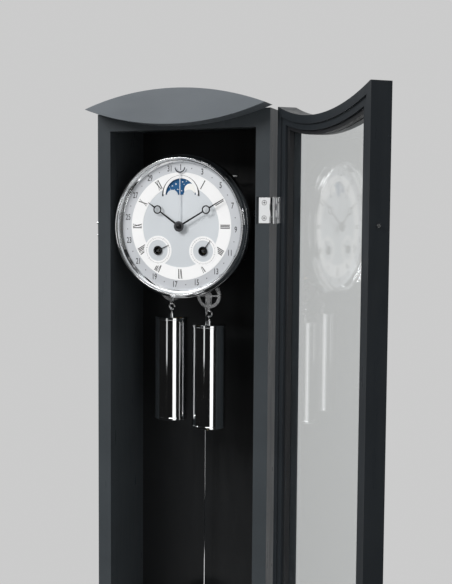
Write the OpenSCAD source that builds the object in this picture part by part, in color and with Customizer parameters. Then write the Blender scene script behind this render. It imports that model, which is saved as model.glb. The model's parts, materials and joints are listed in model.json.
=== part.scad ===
// Wall regulator clock, shown with its door open: case, door, movement, dial, pendulum and weights.
// The origin is the centre of the hanger hole, in the wall plane. X is right, Y into the wall, Z up.

/* [Case] */
// Width of the case front
case_w = 300; // [290:1:330]
// Height of the case
case_h = 1005; // [985:5:1155]
// Depth of the case, from the wall to its front face
case_d = 150; // [145:1:170]
// Thickness of the side, top and bottom boards
board_t = 20; // [15:0.5:22]
// Width of the front frame's stiles
stile_w = 23.2; // [22.5:0.1:26]
// Height of the front frame's rails
rail_h = 28.9; // [25:0.1:31]
// Thickness of the front frame
frame_t = 20; // [16:0.5:22]
// Thickness of the back panel
back_t = 9; // [6:0.5:11]
// Space between the back panel and the wall
back_set = 3; // [3:0.1:5]
// Depth of the rebate in the side boards that takes the back panel
back_rebate = 8; // [4:0.5:10]
// Clearance around the back panel in its rebates
panel_gap = 0.2; // [0.1:0.05:0.5]
// Distance from the case top down to the hanger hole
hanger_drop = 55; // [45:1:65]

/* [Pediment] */
// Width of the lens-shaped pediment, tip to tip
lens_w = 307; // [300:1:330]
// Rise of its upper arc above the tips
lens_rise = 28; // [20:0.5:35]
// Drop of its lower arc below the tips
lens_sag = 28; // [22:0.5:32]
// Thickness of the pediment, in front of the case
lens_t = 40; // [36:1:50]
// Height of its tips above the case top
lens_up = 4; // [1:0.5:9]

/* [Door] */
// Thickness of the door frame
door_t = 29.5; // [28.5:0.5:32]
// Width of the door's stiles
door_stile_w = 30; // [26:0.5:32]
// Width of the door's curved top rail
door_head_w = 27.5; // [22:0.5:32]
// Height of the door's bottom rail
door_foot_w = 30; // [24:0.5:40]
// Gap between the closed door and the case front
door_gap = 1; // [0.6:0.1:1.2]
// Gap between the door's top edge and the pediment
lens_gap = 1.5; // [0.8:0.1:3]
// Width of the strip round the door's back that stands proud
strip_w = 12; // [10:0.5:16]
// Height of that step
strip_step = 3; // [1:0.5:4]
// Thickness of the lip in front of the glass
lip_t = 11; // [8:0.5:11.5]
// Width of the rebate that the glass lies in
glass_rebate = 6; // [4:0.5:8]
// Thickness of the glass
glass_t = 4; // [3:0.5:5]
// Clearance round the glass
glass_gap = 0.5; // [0.2:0.1:1]
// Depth of the beads that hold the glass
bead_t = 8; // [5:0.5:10]
// Angle that the door stands open in the photograph
door_open = 129.1; // [0:0.1:170]

/* [Hinges] */
// Distance of the hinge axis outside the case side
hinge_out = 5.6; // [5.5:0.1:6.5]
// Distance of the hinge axis behind the case front
hinge_back = 2.4; // [2.2:0.1:2.5]
// Height of a hinge
leaf_h = 40; // [36:1:60]
// Width of the leaf on the case
leaf_case_w = 17.5; // [15:0.5:18.5]
// Width of the leaf on the door
leaf_door_w = 13; // [11:0.5:13]
// Thickness of a leaf
leaf_t = 2.5; // [2:0.1:3]
// Radius of the knuckles
knuckle_r = 5; // [4.5:0.1:5.1]
// Radius of the hinge pin
pin_r = 2; // [1.5:0.1:2.5]
// Height of the upper hinge above the dial centre
hinge_up = 26; // [0:1:60]
// Height of the lower hinge above the case bottom
hinge_low = 150; // [80:5:250]
// Distance between a hinge's two screws
hinge_screw_pitch = 24; // [22:1:28]

/* [Latch] */
// Height of the latch above the dial centre
latch_up = 4.8; // [-20:0.1:20]
// Distance of the hook's pivot behind the case front
latch_back = 8; // [6:0.5:12]
// Distance of the door's pin in front of the case front
latch_fwd = 12.9; // [10:0.1:16]
// Thickness of the hook
hook_t = 2; // [1.5:0.1:2.5]
// Width of the hook's arm
hook_w = 4; // [3:0.5:5]
// Radius of the pins that the hook turns on and catches
latch_pin_r = 1.5; // [1.2:0.1:1.8]

/* [Hanging] */
// Width of the hanger plate
hanger_w = 60; // [50:1:80]
// Height of the hanger plate
hanger_h = 30; // [26:1:40]
// Radius of the hanger hole
hanger_hole_r = 5; // [4:0.1:6]
// Radius of the pocket behind it in the back panel
hanger_room_r = 11; // [9:0.5:12]
// Depth of that pocket
hanger_room_d = 6; // [4:0.5:7]
// Distance between the two lower wall screws
wall_screw_pitch = 200; // [120:5:220]
// Height of the lower wall screws above the case bottom
wall_screw_up = 50; // [40:1:90]
// Radius of the lower wall screw holes
wall_screw_r = 2.5; // [2:0.1:3]

/* [Dial] */
// Distance from the hanger hole down to the dial centre
dial_drop = 130; // [125:1:140]
// Thickness of the dial plate
dial_t = 1.5; // [1:0.1:2]
// Space between the bezel and the front frame's stiles
bezel_side = 10.6; // [9:0.1:11.8]
// Width of the bezel's ring
bezel_w = 13.6; // [12.5:0.1:14]
// Distance that the bezel stands in front of the dial
bezel_fwd = 14; // [10:0.5:15]
// Distance that the bezel's drum reaches behind the dial
bezel_back = 18; // [12:0.5:22]
// Wall of the bezel's drum
bezel_wall = 2.7; // [2:0.1:3]
// Width of the date ring, outside the hour ring
date_band_w = 15.3; // [13:0.1:17]
// Width of the hour ring
hour_band_w = 20.8; // [19:0.1:22]
// Thickness of the rings laid on the dial
ring_t = 0.4; // [0.3:0.1:0.8]
// Distance of the winding squares from the dial centre, across and down
square_off = 39.5; // [39.5:0.1:41]
// Outer radius of the small dials
small_r = 24; // [22:0.1:25]
// Inner radius of the small dials' white rings
small_in_r = 17.2; // [15:0.1:19]
// Height of the moon window's centre above the dial centre
moon_up = 51; // [50:0.5:53]
// Radius of the moon window
moon_r = 26.5; // [24:0.1:28]
// Radius of the two humps at its foot
hump_r = 10; // [8:0.1:11]
// Distance of the humps from the middle
hump_off = 14.5; // [13:0.1:16]
// Distance of the humps' centres below the window's foot
hump_drop = 1.9; // [0:0.1:3]

/* [Hands] */
// Reach of the minute hand past the hour ring
minute_past = 1.3; // [-4:0.1:3]
// Place of the minute hand's ring, as a share of its length
minute_ring_share = 0.61; // [0.5:0.01:0.7]
// Reach of the hour hand into the hour ring
hour_past = 0.5; // [-4:0.1:4]
// Place of the hour hand's ring, as a share of its length
hour_ring_share = 0.706; // [0.6:0.01:0.75]
// Outer radius of the rings in the hands
ring_r = 7; // [6:0.1:8]
// Inner radius of the rings in the hands
ring_in_r = 5.1; // [4:0.1:5.4]
// Width of the hands' blades at the hub
blade_w = 3; // [2:0.1:4]
// Thickness of the hands
hand_t = 0.8; // [0.6:0.1:1.2]
// Radius of the minute hand's hub
hub_r = 8.5; // [7:0.1:10]
// Radius of the domed nut on the centre arbor
nut_r = 4.4; // [3.5:0.1:5]
// Outer radius of the crescent
crescent_r = 8.9; // [7:0.1:10]
// Length of the small hands
pointer_l = 21; // [17:0.5:22]
// Angle of the minute hand, clockwise from the top
minute_at = 60; // [0:1:359]
// Angle of the hour hand, clockwise from the top
hour_at = 305; // [0:1:359]
// Angle of the left small hand, clockwise from the top
day_at = 65; // [0:1:359]
// Angle of the right small hand, clockwise from the top
month_at = 36; // [0:1:359]

/* [Movement] */
// Radius of the movement's plates
plate_r = 94; // [92:0.5:98]
// Thickness of the plates
plate_t = 3; // [2.5:0.1:4]
// Distance of the front plate behind the dial face
plate_back = 28; // [27.6:0.1:30]
// Space between the plates
plate_gap = 35; // [34.5:0.1:37]
// Radius of the pillars and posts
pillar_r = 4; // [3.5:0.1:4.5]
// Radius of the studs that hold the movement to the back panel
stud_r = 3; // [2.5:0.1:3.4]
// Radial clearance of an arbor or pin in its hole
run_gap = 0.05; // [0.02:0.01:0.1]
// Clearance between faces that turn past each other
face_gap = 0.2; // [0.1:0.05:0.4]
// Radius of the centre arbor
centre_arbor_r = 1.5; // [1.3:0.1:1.7]
// Radius of the other arbors
arbor_r = 1; // [0.8:0.1:1.2]
// Thickness of the train wheels
wheel_t = 1.6; // [1.2:0.1:2]
// Module of the centre and third wheels' teeth
train_m = 0.6; // [0.6:0.01:0.61]
// Module of the third wheel and escape pinion
escape_m = 0.5; // [0.48:0.01:0.5]
// Radius of the escape wheel
escape_r = 15; // [14:0.1:15.5]

/* [Drums and cables] */
// Radius of the drums' cores
drum_r = 11; // [10.5:0.1:11.5]
// Radius of the drums' flanges
flange_r = 15; // [13:0.5:15]
// Radius of the winding arbors
winder_r = 3; // [2.5:0.1:3.2]
// Side of the winding squares
square_side = 4; // [3.5:0.1:4.2]
// Radius of the cable
cable_r = 0.6; // [0.5:0.05:0.6]
// Turns of cable on each drum at rest
cable_turns = 5; // [3:1:5]
// Distance from one turn to the next
cable_pitch = 1.7; // [1.65:0.05:1.8]
// Clearance between the cable and the drum or pulley
cable_gap = 0.3; // [0.25:0.05:0.4]
// Depth of the cable's strands behind the dial face
cable_back = 45; // [44.5:0.1:45.5]

/* [Pulleys] */
// Outer radius of the pulley wheels
pulley_r = 20.5; // [19.5:0.1:20.8]
// Radius of the pulley's groove, at its foot
groove_r = 16.8; // [16.5:0.1:17.1]
// Width of the pulley wheels
pulley_w = 5; // [4.5:0.1:6]
// Number of spokes in a pulley wheel
pulley_spokes = 4; // [3:1:7]
// Radius of the pulley's axle
axle_r = 2; // [1.5:0.1:2.4]
// Thickness of the straps beside the pulley
strap_t = 1.2; // [1:0.1:1.6]
// Width of the straps
strap_w = 8; // [7:0.5:9]
// Distance of the left pulley below the dial centre
pulley_down_left = 105; // [104:0.5:112]
// Distance of the right pulley below the dial centre
pulley_down_right = 115; // [110:0.5:122]
// Distance from the pulley's axle to the foot of its hook
hook_drop = 36; // [35.5:0.5:40]
// Outer radius of the hook
hook_r = 6; // [5.6:0.1:6.2]
// Radius of the hook's wire
hook_wire_r = 1.4; // [1.1:0.1:1.5]

/* [Weights] */
// Radius of the weights' shells
weight_r = 27.7; // [26:0.1:28.5]
// Radius of the weights' end caps
cap_r = 28.3; // [27.8:0.1:29.5]
// Height of the end caps
cap_h = 4; // [3:0.5:6]
// Height of the weights
weight_h = 173; // [150:1:200]
// Distance from the foot of the hook to the weight's top
weight_down = 10.7; // [10:0.1:14]
// Radius of the nuts on the weights
weight_nut_r = 4.6; // [4:0.1:6]

/* [Pendulum] */
// Height of the pendulum's pivot above the dial centre
pivot_up = 51; // [51:0.1:51.5]
// Height of the bob's centre above the case bottom
bob_up = 119.4; // [100:0.1:150]
// Distance of the pendulum's plane from the back panel
pendulum_room = 21; // [18:0.5:23]
// Radius of the pendulum rod
rod_r = 1.4; // [1.2:0.1:1.8]
// Radius of the bob
bob_r = 58; // [50:1:60]
// Thickness of the bob
bob_t = 20; // [14:1:24]
// Distance from the pallets' arbor to the crutch's fork
crutch_l = 70; // [55:1:90]

/* [Strike] */
// Height of the gong rod above the dial centre
gong_up = 85; // [84:0.5:88]
// Radius of the gong rod
gong_r = 1.4; // [1:0.1:2]
// Gap between the hammer and the gong at rest
hammer_gap = 3; // [2.5:0.1:4]
// Length of the hammer's arm
hammer_l = 30; // [25:1:34]

/* [Hidden] */
$fn = 64;
arc_fn = 256;
eps = 0.01;

// Case planes
half_w = case_w / 2;
in_half = half_w - board_t;
open_half = half_w - stile_w;
top_z = hanger_drop;
bottom_z = top_z - case_h;
front_y = -case_d;
panel_y = -back_set - back_t;
dial_y = front_y;
dial_z = -dial_drop;
panel_depth = panel_y - dial_y;

// Arcs of the pediment and of the door's top edge
function arc_radius(half, sag) = (half * half + sag * sag) / (2 * sag);
lens_tip_z = top_z + lens_up;
lens_top_r = arc_radius(lens_w / 2, lens_rise);
lens_low_r = arc_radius(lens_w / 2, lens_sag);
lens_low_z = lens_tip_z - lens_sag + lens_low_r;
door_arc_r = lens_low_r + lens_gap;

// Door planes, with the door closed
door_back_y = front_y - door_gap;
door_front_y = door_back_y - door_t;
glass_front_y = door_front_y + lip_t;
glass_back_y = glass_front_y + glass_t;
bead_gap = 0.3;
hinge_x = half_w + hinge_out;
hinge_y = front_y + hinge_back;
hinge_z = [dial_z + hinge_up, bottom_z + hinge_low];
knuckles = 4;
knuckle_gap = 0.3;
knuckle_h = leaf_h / knuckles;
leaf_past = 0.2;
leaf_edge_x = half_w + leaf_past;
case_leaf_x = leaf_edge_x - leaf_case_w;
door_leaf_x = leaf_edge_x - leaf_door_w;
mortise_gap = 1;
mortise_side = 4;
latch_z = dial_z + latch_up;
latch_l = latch_back + latch_fwd;
latch_side_gap = 0.4;
latch_x = -half_w - latch_side_gap - hook_t;

// Screws
screw_r = 1.5;
screw_l = 9;
screw_head_r = 3.7;
screw_head_h = 1.5;
slot_w = 0.9;

// Radii of the bezel and the dial's rings, and the hands that reach them
bezel_r = open_half - bezel_side;
bezel_in_r = bezel_r - bezel_w;
chapter_r = bezel_in_r - date_band_w;
chapter_in_r = chapter_r - hour_band_w;
date_ring_r = (bezel_in_r + chapter_r) / 2;
minute_l = chapter_r + minute_past;
minute_ring = minute_l * minute_ring_share;
hour_l = chapter_in_r + hour_past;
hour_ring = hour_l * hour_ring_share;

// Depths behind the dial face
plate_inner = plate_back + plate_t;
plate_rear = plate_inner + plate_gap;
movement_rear = plate_rear + plate_t;
great_depth = plate_inner + 2;
great_t = 2.5;
centre_wheel_depth = great_depth + 7;
third_wheel_depth = centre_wheel_depth + 10;
escape_depth = third_wheel_depth + 7;
pinion_t = 4;
drum_front = great_depth + great_t + 1.5;
drum_back = plate_rear - 5;
flange_t = 1.5;
date_wheel_depth = 12;
hour_wheel_depth = 16;
cannon_depth = 22;
motion_t = 2;
cannon_t = 4;

// The centre stack, from the arbor outwards
cannon_r = 2.3;
hour_pipe_in = cannon_r + 0.1;
hour_pipe_r = hour_pipe_in + 0.8;
date_pipe_in = hour_pipe_r + 0.1;
date_pipe_r = date_pipe_in + 0.9;
dial_hole_r = date_pipe_r + 0.1;
date_hand_fwd = ring_t + 2.4;
hour_hand_fwd = date_hand_fwd + hand_t + 1.2;
minute_hand_fwd = hour_hand_fwd + hand_t + 1.4;
nut_h = 4.5;

// Train: teeth and centres, in the dial's plane
great_teeth = 112;
centre_pinion = 8;
centre_teeth = 64;
third_pinion = 8;
third_teeth = 69;
escape_pinion = 8;
escape_teeth = 30;
cannon_teeth = 12;
minute_teeth = 36;
minute_pinion = 10;
hour_teeth = 40;
strike_teeth = 60;
strike_m = 0.78;
great_dist = square_off * sqrt(2);
great_m = 2 * great_dist / (great_teeth + centre_pinion);
third_dist = train_m * (centre_teeth + third_pinion) / 2;
third_angle = 50;
third_at = [third_dist * cos(third_angle), third_dist * sin(third_angle)];
escape_dist = escape_m * (third_teeth + escape_pinion) / 2;
escape_at = [0, third_at[1] + sqrt(escape_dist * escape_dist - third_at[0] * third_at[0])];
motion_m = 0.8;
motion_dist = motion_m * (cannon_teeth + minute_teeth) / 2;
hour_m = 2 * motion_dist / (minute_pinion + hour_teeth);
square_right = [square_off, -square_off];
square_left = [-square_off, -square_off];
pillars = [[81, 22], [-81, 22], [52, 66], [-52, 66], [0, -84], [78, -36]];
posts = [[81, 22], [-81, 22], [60, -55], [-60, -55]];
dial_feet = [[70, 45], [-70, 45], [0, -75]];

// Small dials' collars
collar_r = 7.4;
collar_tube_r = 6.3;
collar_in_r = 5.2;
collar_back = 7;
star_r = 11;
star_t = 1.5;

// Cables and pulleys
cable_wrap_r = drum_r + cable_r + cable_gap;
cable_loop_r = groove_r + cable_r + cable_gap;
pulley_x = square_off + cable_wrap_r - cable_loop_r;
anchor_x = pulley_x - cable_loop_r;
anchor_down = 76;
anchor_r = 2.5;
anchor_gap = 0.1;
wrap_steps = 16;
loop_steps = 12;
cable_sides = 6;
cheek_gap = 0.4;
pulley_down = [pulley_down_left, pulley_down_right];

// Weights
eye_in_r = 2.2;
eye_wire_r = 1;
eye_gap = 0.1;
weight_nut_h = 5;
weight_foot_h = 4;

// Pendulum and strike
pendulum_back = panel_depth - pendulum_room;
bob_z = bottom_z - dial_z + bob_up;
rating_nut_r = 9;
rating_nut_h = 8;
rod_end = 6;
block_w = 10;
block_t = 8;
cock_pin_r = 1.5;
spring_t = 0.5;
spring_l = 16;
crutch_depth = pendulum_back - 15;
cock_foot_w = 24;
cock_foot_h = 40;
cock_foot_t = 4;
crutch_t = 2;
pallet_gap = 0.8;
hammer_head = 8;
hammer_depth = pendulum_back - 12;
hammer_x = -15;
hammer_up = gong_up - gong_r - hammer_gap - hammer_head / 2;
gong_half = 60;
gong_block = 14;

// Colours
black = "#232527";
grey = "#747678";
chrome = "#d9dcde";
steel = "#9ea3a7";
brass = "#c9a457";
silver = "#d5d9dc";
white = "#f4f4f1";
dark = "#17181a";

// A slab between two planes of Y, from an outline drawn in X and Z
module slab(y_front, y_back) {
    translate([0, y_back, 0])
        rotate([90, 0, 0])
            linear_extrude(y_back - y_front)
                children();
}

// A slab between two depths behind the dial face, from an outline drawn round the dial centre
module layer(front, back) {
    translate([0, dial_y + back, dial_z])
        rotate([90, 0, 0])
            linear_extrude(back - front)
                children();
}

// A round bar along Y between two depths, at a point of the dial's plane
module bar(at, r, front, back) {
    translate([at[0], dial_y + front, dial_z + at[1]])
        rotate([-90, 0, 0])
            cylinder(r = r, h = back - front);
}

// A turned shape about an axis along Y, from an outline of radius and depth
module turned(at) {
    translate([at[0], dial_y, dial_z + at[1]])
        rotate([-90, 0, 0])
            rotate_extrude()
                children();
}

// Outline of a wheel or pinion: straight-sided teeth, with one tooth's middle at the angle given
function gear_points(teeth, m, at, top = 0.7, foot = 0.9) = [
    for (i = [0:teeth - 1], k = [0:3])
        let (
            side = [-0.24, -0.12, 0.12, 0.24][k],
            r = (k == 0 || k == 3) ? (teeth / 2 - foot) * m : (teeth / 2 + top) * m,
            a = at + (i + side) * 360 / teeth
        )
        [r * cos(a), r * sin(a)]
];

// A spoked wheel's windows
module windows(r_in, r_out, spokes, spoke_w) {
    difference() {
        circle(r = r_out);
        circle(r = r_in);
        for (i = [0:spokes - 1])
            rotate(i * 360 / spokes)
                translate([0, -spoke_w / 2])
                    square([r_out + 1, spoke_w]);
    }
}

// A toothed wheel drawn in the dial's plane; the rim is what stands inside the teeth
module wheel_2d(teeth, m, at, rim, hub, spokes, spoke_w) {
    difference() {
        polygon(gear_points(teeth, m, at));
        windows(hub, (teeth / 2 - 0.9) * m - rim, spokes, spoke_w);
    }
}

// Tooth angles that put each pair in mesh at rest
function meets(line, teeth_a, at_a, teeth_b) =
    line + 180 - (at_a - line) * teeth_a / teeth_b + 180 / teeth_b;
great_line = 45;
great_tooth = great_line;
centre_pinion_tooth = meets(great_line, great_teeth, great_tooth, centre_pinion);
third_pinion_tooth = meets(third_angle, centre_teeth, 0, third_pinion);
escape_line = atan2(escape_at[1] - third_at[1], escape_at[0] - third_at[0]);
escape_pinion_tooth = meets(escape_line, third_teeth, 0, escape_pinion);
motion_line = -90;
minute_tooth = meets(motion_line, cannon_teeth, 0, minute_teeth);
minute_pinion_tooth = 90;
hour_tooth = meets(motion_line + 180, minute_pinion, minute_pinion_tooth, hour_teeth);

// A countersunk screw along +Z with its head's face at z = 0, driven down into -Z
module screw() {
    difference() {
        union() {
            translate([0, 0, -screw_head_h])
                cylinder(r1 = screw_r, r2 = screw_head_r, h = screw_head_h);
            translate([0, 0, -screw_l])
                cylinder(r = screw_r, h = screw_l - screw_head_h + eps);
        }
        for (a = [0, 90])
            rotate(a)
                translate([-screw_head_r * 0.6, -slot_w / 2, -slot_w])
                    cube([screw_head_r * 1.2, slot_w, slot_w + eps]);
    }
}

// The hole for such a screw
module screw_hole() {
    translate([0, 0, -screw_head_h])
        cylinder(r1 = screw_r + run_gap, r2 = screw_head_r + run_gap, h = screw_head_h);
    translate([0, 0, -screw_l - 1])
        cylinder(r = screw_r + run_gap, h = screw_l + 1);
    cylinder(r = screw_head_r + run_gap, h = 1);
}

// Case

module side(sign) {
    side_x = sign > 0 ? in_half : -half_w;
    rebate_x = sign > 0 ? in_half : -in_half - back_rebate;
    difference() {
        translate([side_x, front_y + frame_t, bottom_z])
            cube([board_t, case_d - frame_t, case_h]);
        translate([rebate_x, panel_y, bottom_z - 1])
            cube([back_rebate, back_t + back_set + 1, case_h + 2]);
    }
}

module side_left() {
    color(black)
        side(-1);
}

module side_right() {
    color(black)
        side(1);
}

// Top and bottom boards, between the sides
module end_boards() {
    color(black)
        for (z = [bottom_z, top_z - board_t])
            translate([-in_half, front_y + frame_t, z])
                cube([2 * in_half, case_d - frame_t - back_t - back_set, board_t]);
}

module back_panel() {
    panel_half = in_half + back_rebate - panel_gap;
    color(black)
        difference() {
            translate([-panel_half, panel_y, bottom_z])
                cube([2 * panel_half, back_t, case_h]);
            translate([0, -back_set - hanger_room_d, 0])
                rotate([-90, 0, 0])
                    cylinder(r = hanger_room_r, h = hanger_room_d + 1);
            for (x = [-1, 1] * wall_screw_pitch / 2)
                translate([x, panel_y - 1, bottom_z + wall_screw_up])
                    rotate([-90, 0, 0])
                        cylinder(r = wall_screw_r, h = back_t + 2);
            for (p = posts)
                bar(p, stud_r + run_gap, panel_depth - 1, panel_depth + back_t + 1);
            at_hanger_screws()
                screw_hole();
        }
}

module face_stile(sign) {
    translate([sign > 0 ? open_half : -half_w, front_y, bottom_z])
        cube([stile_w, frame_t, case_h]);
}

module face_stile_left() {
    color(black)
        difference() {
            face_stile(-1);
            at_latch_screw()
                translate([0, 0, -screw_l - 1])
                    cylinder(r = screw_r + run_gap, h = screw_l + 2);
        }
}

// The right stile is mortised for the hinges' leaves
module face_stile_right() {
    color(black)
        difference() {
            face_stile(1);
            for (z = hinge_z)
                translate([case_leaf_x - mortise_side, front_y - 1, z - leaf_h / 2 - mortise_gap])
                    cube([leaf_case_w + mortise_side + 1, leaf_t + 1, leaf_h + 2 * mortise_gap]);
            at_hinge_case_screws()
                screw_hole();
        }
}

module face_rails() {
    color(black)
        for (z = [bottom_z, top_z - rail_h])
            translate([-open_half, front_y, z])
                cube([2 * open_half, frame_t, rail_h]);
}

// The pediment is a lens of two arcs
module pediment() {
    color(grey)
        slab(front_y - lens_t, front_y)
            intersection() {
                translate([0, lens_low_z])
                    circle(r = lens_low_r, $fn = arc_fn);
                translate([0, lens_tip_z + lens_rise - lens_top_r])
                    circle(r = lens_top_r, $fn = arc_fn);
            }
}

// Hanging hardware

module at_hanger_screws() {
    for (x = [-1, 1] * (hanger_w / 2 - 8))
        translate([x, 0, 0])
            rotate([-90, 0, 0])
                children();
}

module hanger_plate() {
    color(steel)
        difference() {
            translate([-hanger_w / 2, -back_set, -hanger_h / 2])
                cube([hanger_w, back_set, hanger_h]);
            translate([0, -back_set - 1, 0])
                rotate([-90, 0, 0])
                    cylinder(r = hanger_hole_r, h = back_set + 2);
            at_hanger_screws()
                screw_hole();
        }
}

// Hinges: a case leaf, a pin and a door leaf at each height

module at_hinge_case_screws() {
    for (z = hinge_z, s = [-1, 1])
        translate([case_leaf_x + leaf_case_w / 2, front_y, z + s * hinge_screw_pitch / 2])
            rotate([90, 0, 0])
                children();
}

module at_hinge_door_screws() {
    for (z = hinge_z, s = [-1, 1])
        translate([door_leaf_x + (leaf_door_w - leaf_past) / 2, door_back_y, z + s * hinge_screw_pitch / 2])
            rotate([-90, 0, 0])
                children();
}

// One leaf's knuckles and the tabs that join them to the plate; first is its topmost knuckle
module knuckle_row(z, first, tab_y) {
    for (i = [first:2:knuckles - 1]) {
        low = z + leaf_h / 2 - (i + 1) * knuckle_h + knuckle_gap / 2;
        translate([hinge_x, hinge_y, low])
            cylinder(r = knuckle_r, h = knuckle_h - knuckle_gap);
        translate([leaf_edge_x - 1, tab_y, low])
            cube([hinge_x - leaf_edge_x + 1, leaf_t, knuckle_h - knuckle_gap]);
    }
}

module pin_bores() {
    for (z = hinge_z)
        translate([hinge_x, hinge_y, z - leaf_h / 2 - 1])
            cylinder(r = pin_r + run_gap, h = leaf_h + 2);
}

module hinge_case_leaves() {
    color(chrome)
        difference() {
            for (z = hinge_z) {
                translate([case_leaf_x, front_y, z - leaf_h / 2])
                    cube([leaf_case_w, leaf_t, leaf_h]);
                knuckle_row(z, 0, front_y);
            }
            pin_bores();
            at_hinge_case_screws()
                screw_hole();
        }
}

module hinge_pins() {
    head_r = pin_r + 1;
    head_h = 1;
    color(chrome)
        for (z = hinge_z)
            translate([hinge_x, hinge_y, z])
                for (end = [-1, 1]) {
                    cylinder(r = pin_r, h = leaf_h + 2 * eps, center = true);
                    translate([0, 0, end * (leaf_h + head_h) / 2])
                        cylinder(r = head_r, h = head_h, center = true);
                }
}

module hinge_door_leaves() {
    color(chrome)
        on_open_door()
            difference() {
                for (z = hinge_z) {
                    translate([door_leaf_x, door_back_y - leaf_t, z - leaf_h / 2])
                        cube([leaf_door_w, leaf_t, leaf_h]);
                    knuckle_row(z, 1, door_back_y - leaf_t);
                }
                pin_bores();
                at_hinge_door_screws()
                    screw_hole();
            }
}

module hinge_door_screws() {
    color(chrome)
        on_open_door()
            at_hinge_door_screws()
                screw();
}

// The screws of the case: hinge leaves, hanger plate, and the shouldered one that the latch turns on
module case_screws() {
    color(chrome) {
        at_hinge_case_screws()
            screw();
        at_hanger_screws()
            screw();
        at_latch_screw()
            latch_screw();
    }
}

// Latch: a hook on the case's left side that drops over a pin in the door's edge

module at_latch_screw() {
    translate([-half_w, front_y + latch_back, latch_z])
        rotate([0, -90, 0])
            children();
}

module latch_screw() {
    shoulder = latch_side_gap * 2 + hook_t;
    head_h = 2.5;
    translate([0, 0, -screw_l])
        cylinder(r = screw_r, h = screw_l + eps);
    cylinder(r = latch_pin_r, h = shoulder + eps);
    translate([0, 0, shoulder])
        rotate_extrude()
            polygon([
                [0, 0],
                [latch_pin_r * 2, 0],
                [latch_pin_r * 2, head_h / 2],
                [latch_pin_r, head_h],
                [0, head_h]
            ]);
}

module latch_hook() {
    eye_r = hook_w;
    tail = 7;
    color(chrome)
        translate([latch_x, front_y + latch_back, latch_z])
            rotate([90, 0, 90])
                linear_extrude(hook_t)
                    difference() {
                        union() {
                            circle(r = eye_r);
                            translate([-hook_w / 2, -latch_l - tail])
                                square([hook_w, latch_l + tail]);
                            translate([0, -latch_l])
                                circle(r = eye_r + 0.5);
                        }
                        circle(r = latch_pin_r + run_gap);
                        translate([0, -latch_l])
                            circle(r = latch_pin_r + face_gap);
                        translate([0, -latch_l - latch_pin_r - face_gap])
                            square([eye_r + 1, 2 * (latch_pin_r + face_gap)]);
                    }
}

module door_pin() {
    stem = latch_side_gap * 2 + hook_t;
    color(chrome)
        on_open_door()
            translate([-half_w, front_y - latch_fwd, latch_z])
                rotate([0, -90, 0]) {
                    translate([0, 0, -10])
                        cylinder(r = latch_pin_r, h = 10 + stem + eps);
                    translate([0, 0, stem])
                        cylinder(r = latch_pin_r + 1, h = 1.5);
                }
}

// Door, drawn closed and turned to where it stands open

module on_open_door() {
    translate([hinge_x, hinge_y, 0])
        rotate([0, 0, door_open])
            translate([-hinge_x, -hinge_y, 0])
                children();
}

// The door's outline, drawn in by its own width at the sides, foot and curved head
module door_field(side, foot, head) {
    difference() {
        translate([-half_w + side, bottom_z + foot])
            square([case_w - 2 * side, case_h - foot]);
        translate([0, lens_low_z])
            circle(r = door_arc_r + head, $fn = arc_fn);
    }
}

// The stretch of the frame between two X and two Z; each cut starts its own distance in from the sides
module door_member(x_span, z_span, lip_cut, rebate_cut, strip_cut) {
    difference() {
        intersection() {
            slab(door_front_y, door_back_y)
                door_field(0, 0, 0);
            translate([x_span[0], door_front_y - 1, z_span[0]])
                cube([x_span[1] - x_span[0], door_t + 2, z_span[1] - z_span[0]]);
        }
        slab(door_front_y - 1, door_back_y + 1)
            door_field(lip_cut, door_foot_w, door_head_w);
        slab(glass_front_y, door_back_y + 1)
            door_field(rebate_cut, door_foot_w - glass_rebate, door_head_w - glass_rebate);
        slab(door_back_y - strip_step, door_back_y + 1)
            door_field(strip_cut, strip_w, strip_w);
    }
}

door_rail_half = half_w - door_stile_w;
door_mid_z = (bottom_z + top_z) / 2;

// A stile has the rebate and the step, but stands clear of the opening in the lip
module door_stile(x_span) {
    door_member(x_span, [bottom_z, top_z], door_stile_w + 1, door_stile_w - glass_rebate, strip_w);
}

// A rail's cuts run out past both its ends
module door_rail(z_span) {
    door_member([-door_rail_half, door_rail_half], z_span, 0, 0, 0);
}

module door_stile_hinge() {
    leaf_cut_x = door_leaf_x - bead_gap;
    color(black)
        on_open_door()
            difference() {
                door_stile([door_rail_half, half_w]);
                for (z = hinge_z)
                    translate([leaf_cut_x, door_back_y - leaf_t - run_gap, z - leaf_h / 2 - bead_gap])
                        cube([leaf_door_w + 2, leaf_t + 1, leaf_h + 2 * bead_gap]);
                at_hinge_door_screws()
                    screw_hole();
            }
}

module door_stile_free() {
    color(black)
        on_open_door()
            difference() {
                door_stile([-half_w, -door_rail_half]);
                translate([-half_w, front_y - latch_fwd, latch_z])
                    rotate([0, 90, 0])
                        translate([0, 0, -1])
                            cylinder(r = latch_pin_r + run_gap, h = 12);
            }
}

module door_rail_top() {
    color(black)
        on_open_door()
            door_rail([door_mid_z, top_z]);
}

module door_rail_bottom() {
    color(black)
        on_open_door()
            door_rail([bottom_z, door_mid_z]);
}

module door_glass() {
    inset = glass_rebate - glass_gap;
    color("#9fb3b8", 0.3)
        on_open_door()
            slab(glass_front_y, glass_back_y)
                door_field(door_stile_w - inset, door_foot_w - inset, door_head_w - inset);
}

// Four beads behind the glass, in one frame
module glass_beads() {
    outer = glass_rebate - bead_gap;
    color(dark)
        on_open_door()
            slab(glass_back_y, glass_back_y + bead_t)
                difference() {
                    door_field(door_stile_w - outer, door_foot_w - outer, door_head_w - outer);
                    door_field(door_stile_w, door_foot_w, door_head_w);
                }
}

// Movement frame

module movement_posts() {
    color(steel)
        for (p = posts) {
            bar(p, pillar_r + 1, movement_rear, panel_depth);
            bar(p, stud_r, panel_depth - eps, panel_depth + back_t + back_set - 0.4);
        }
}

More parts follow.
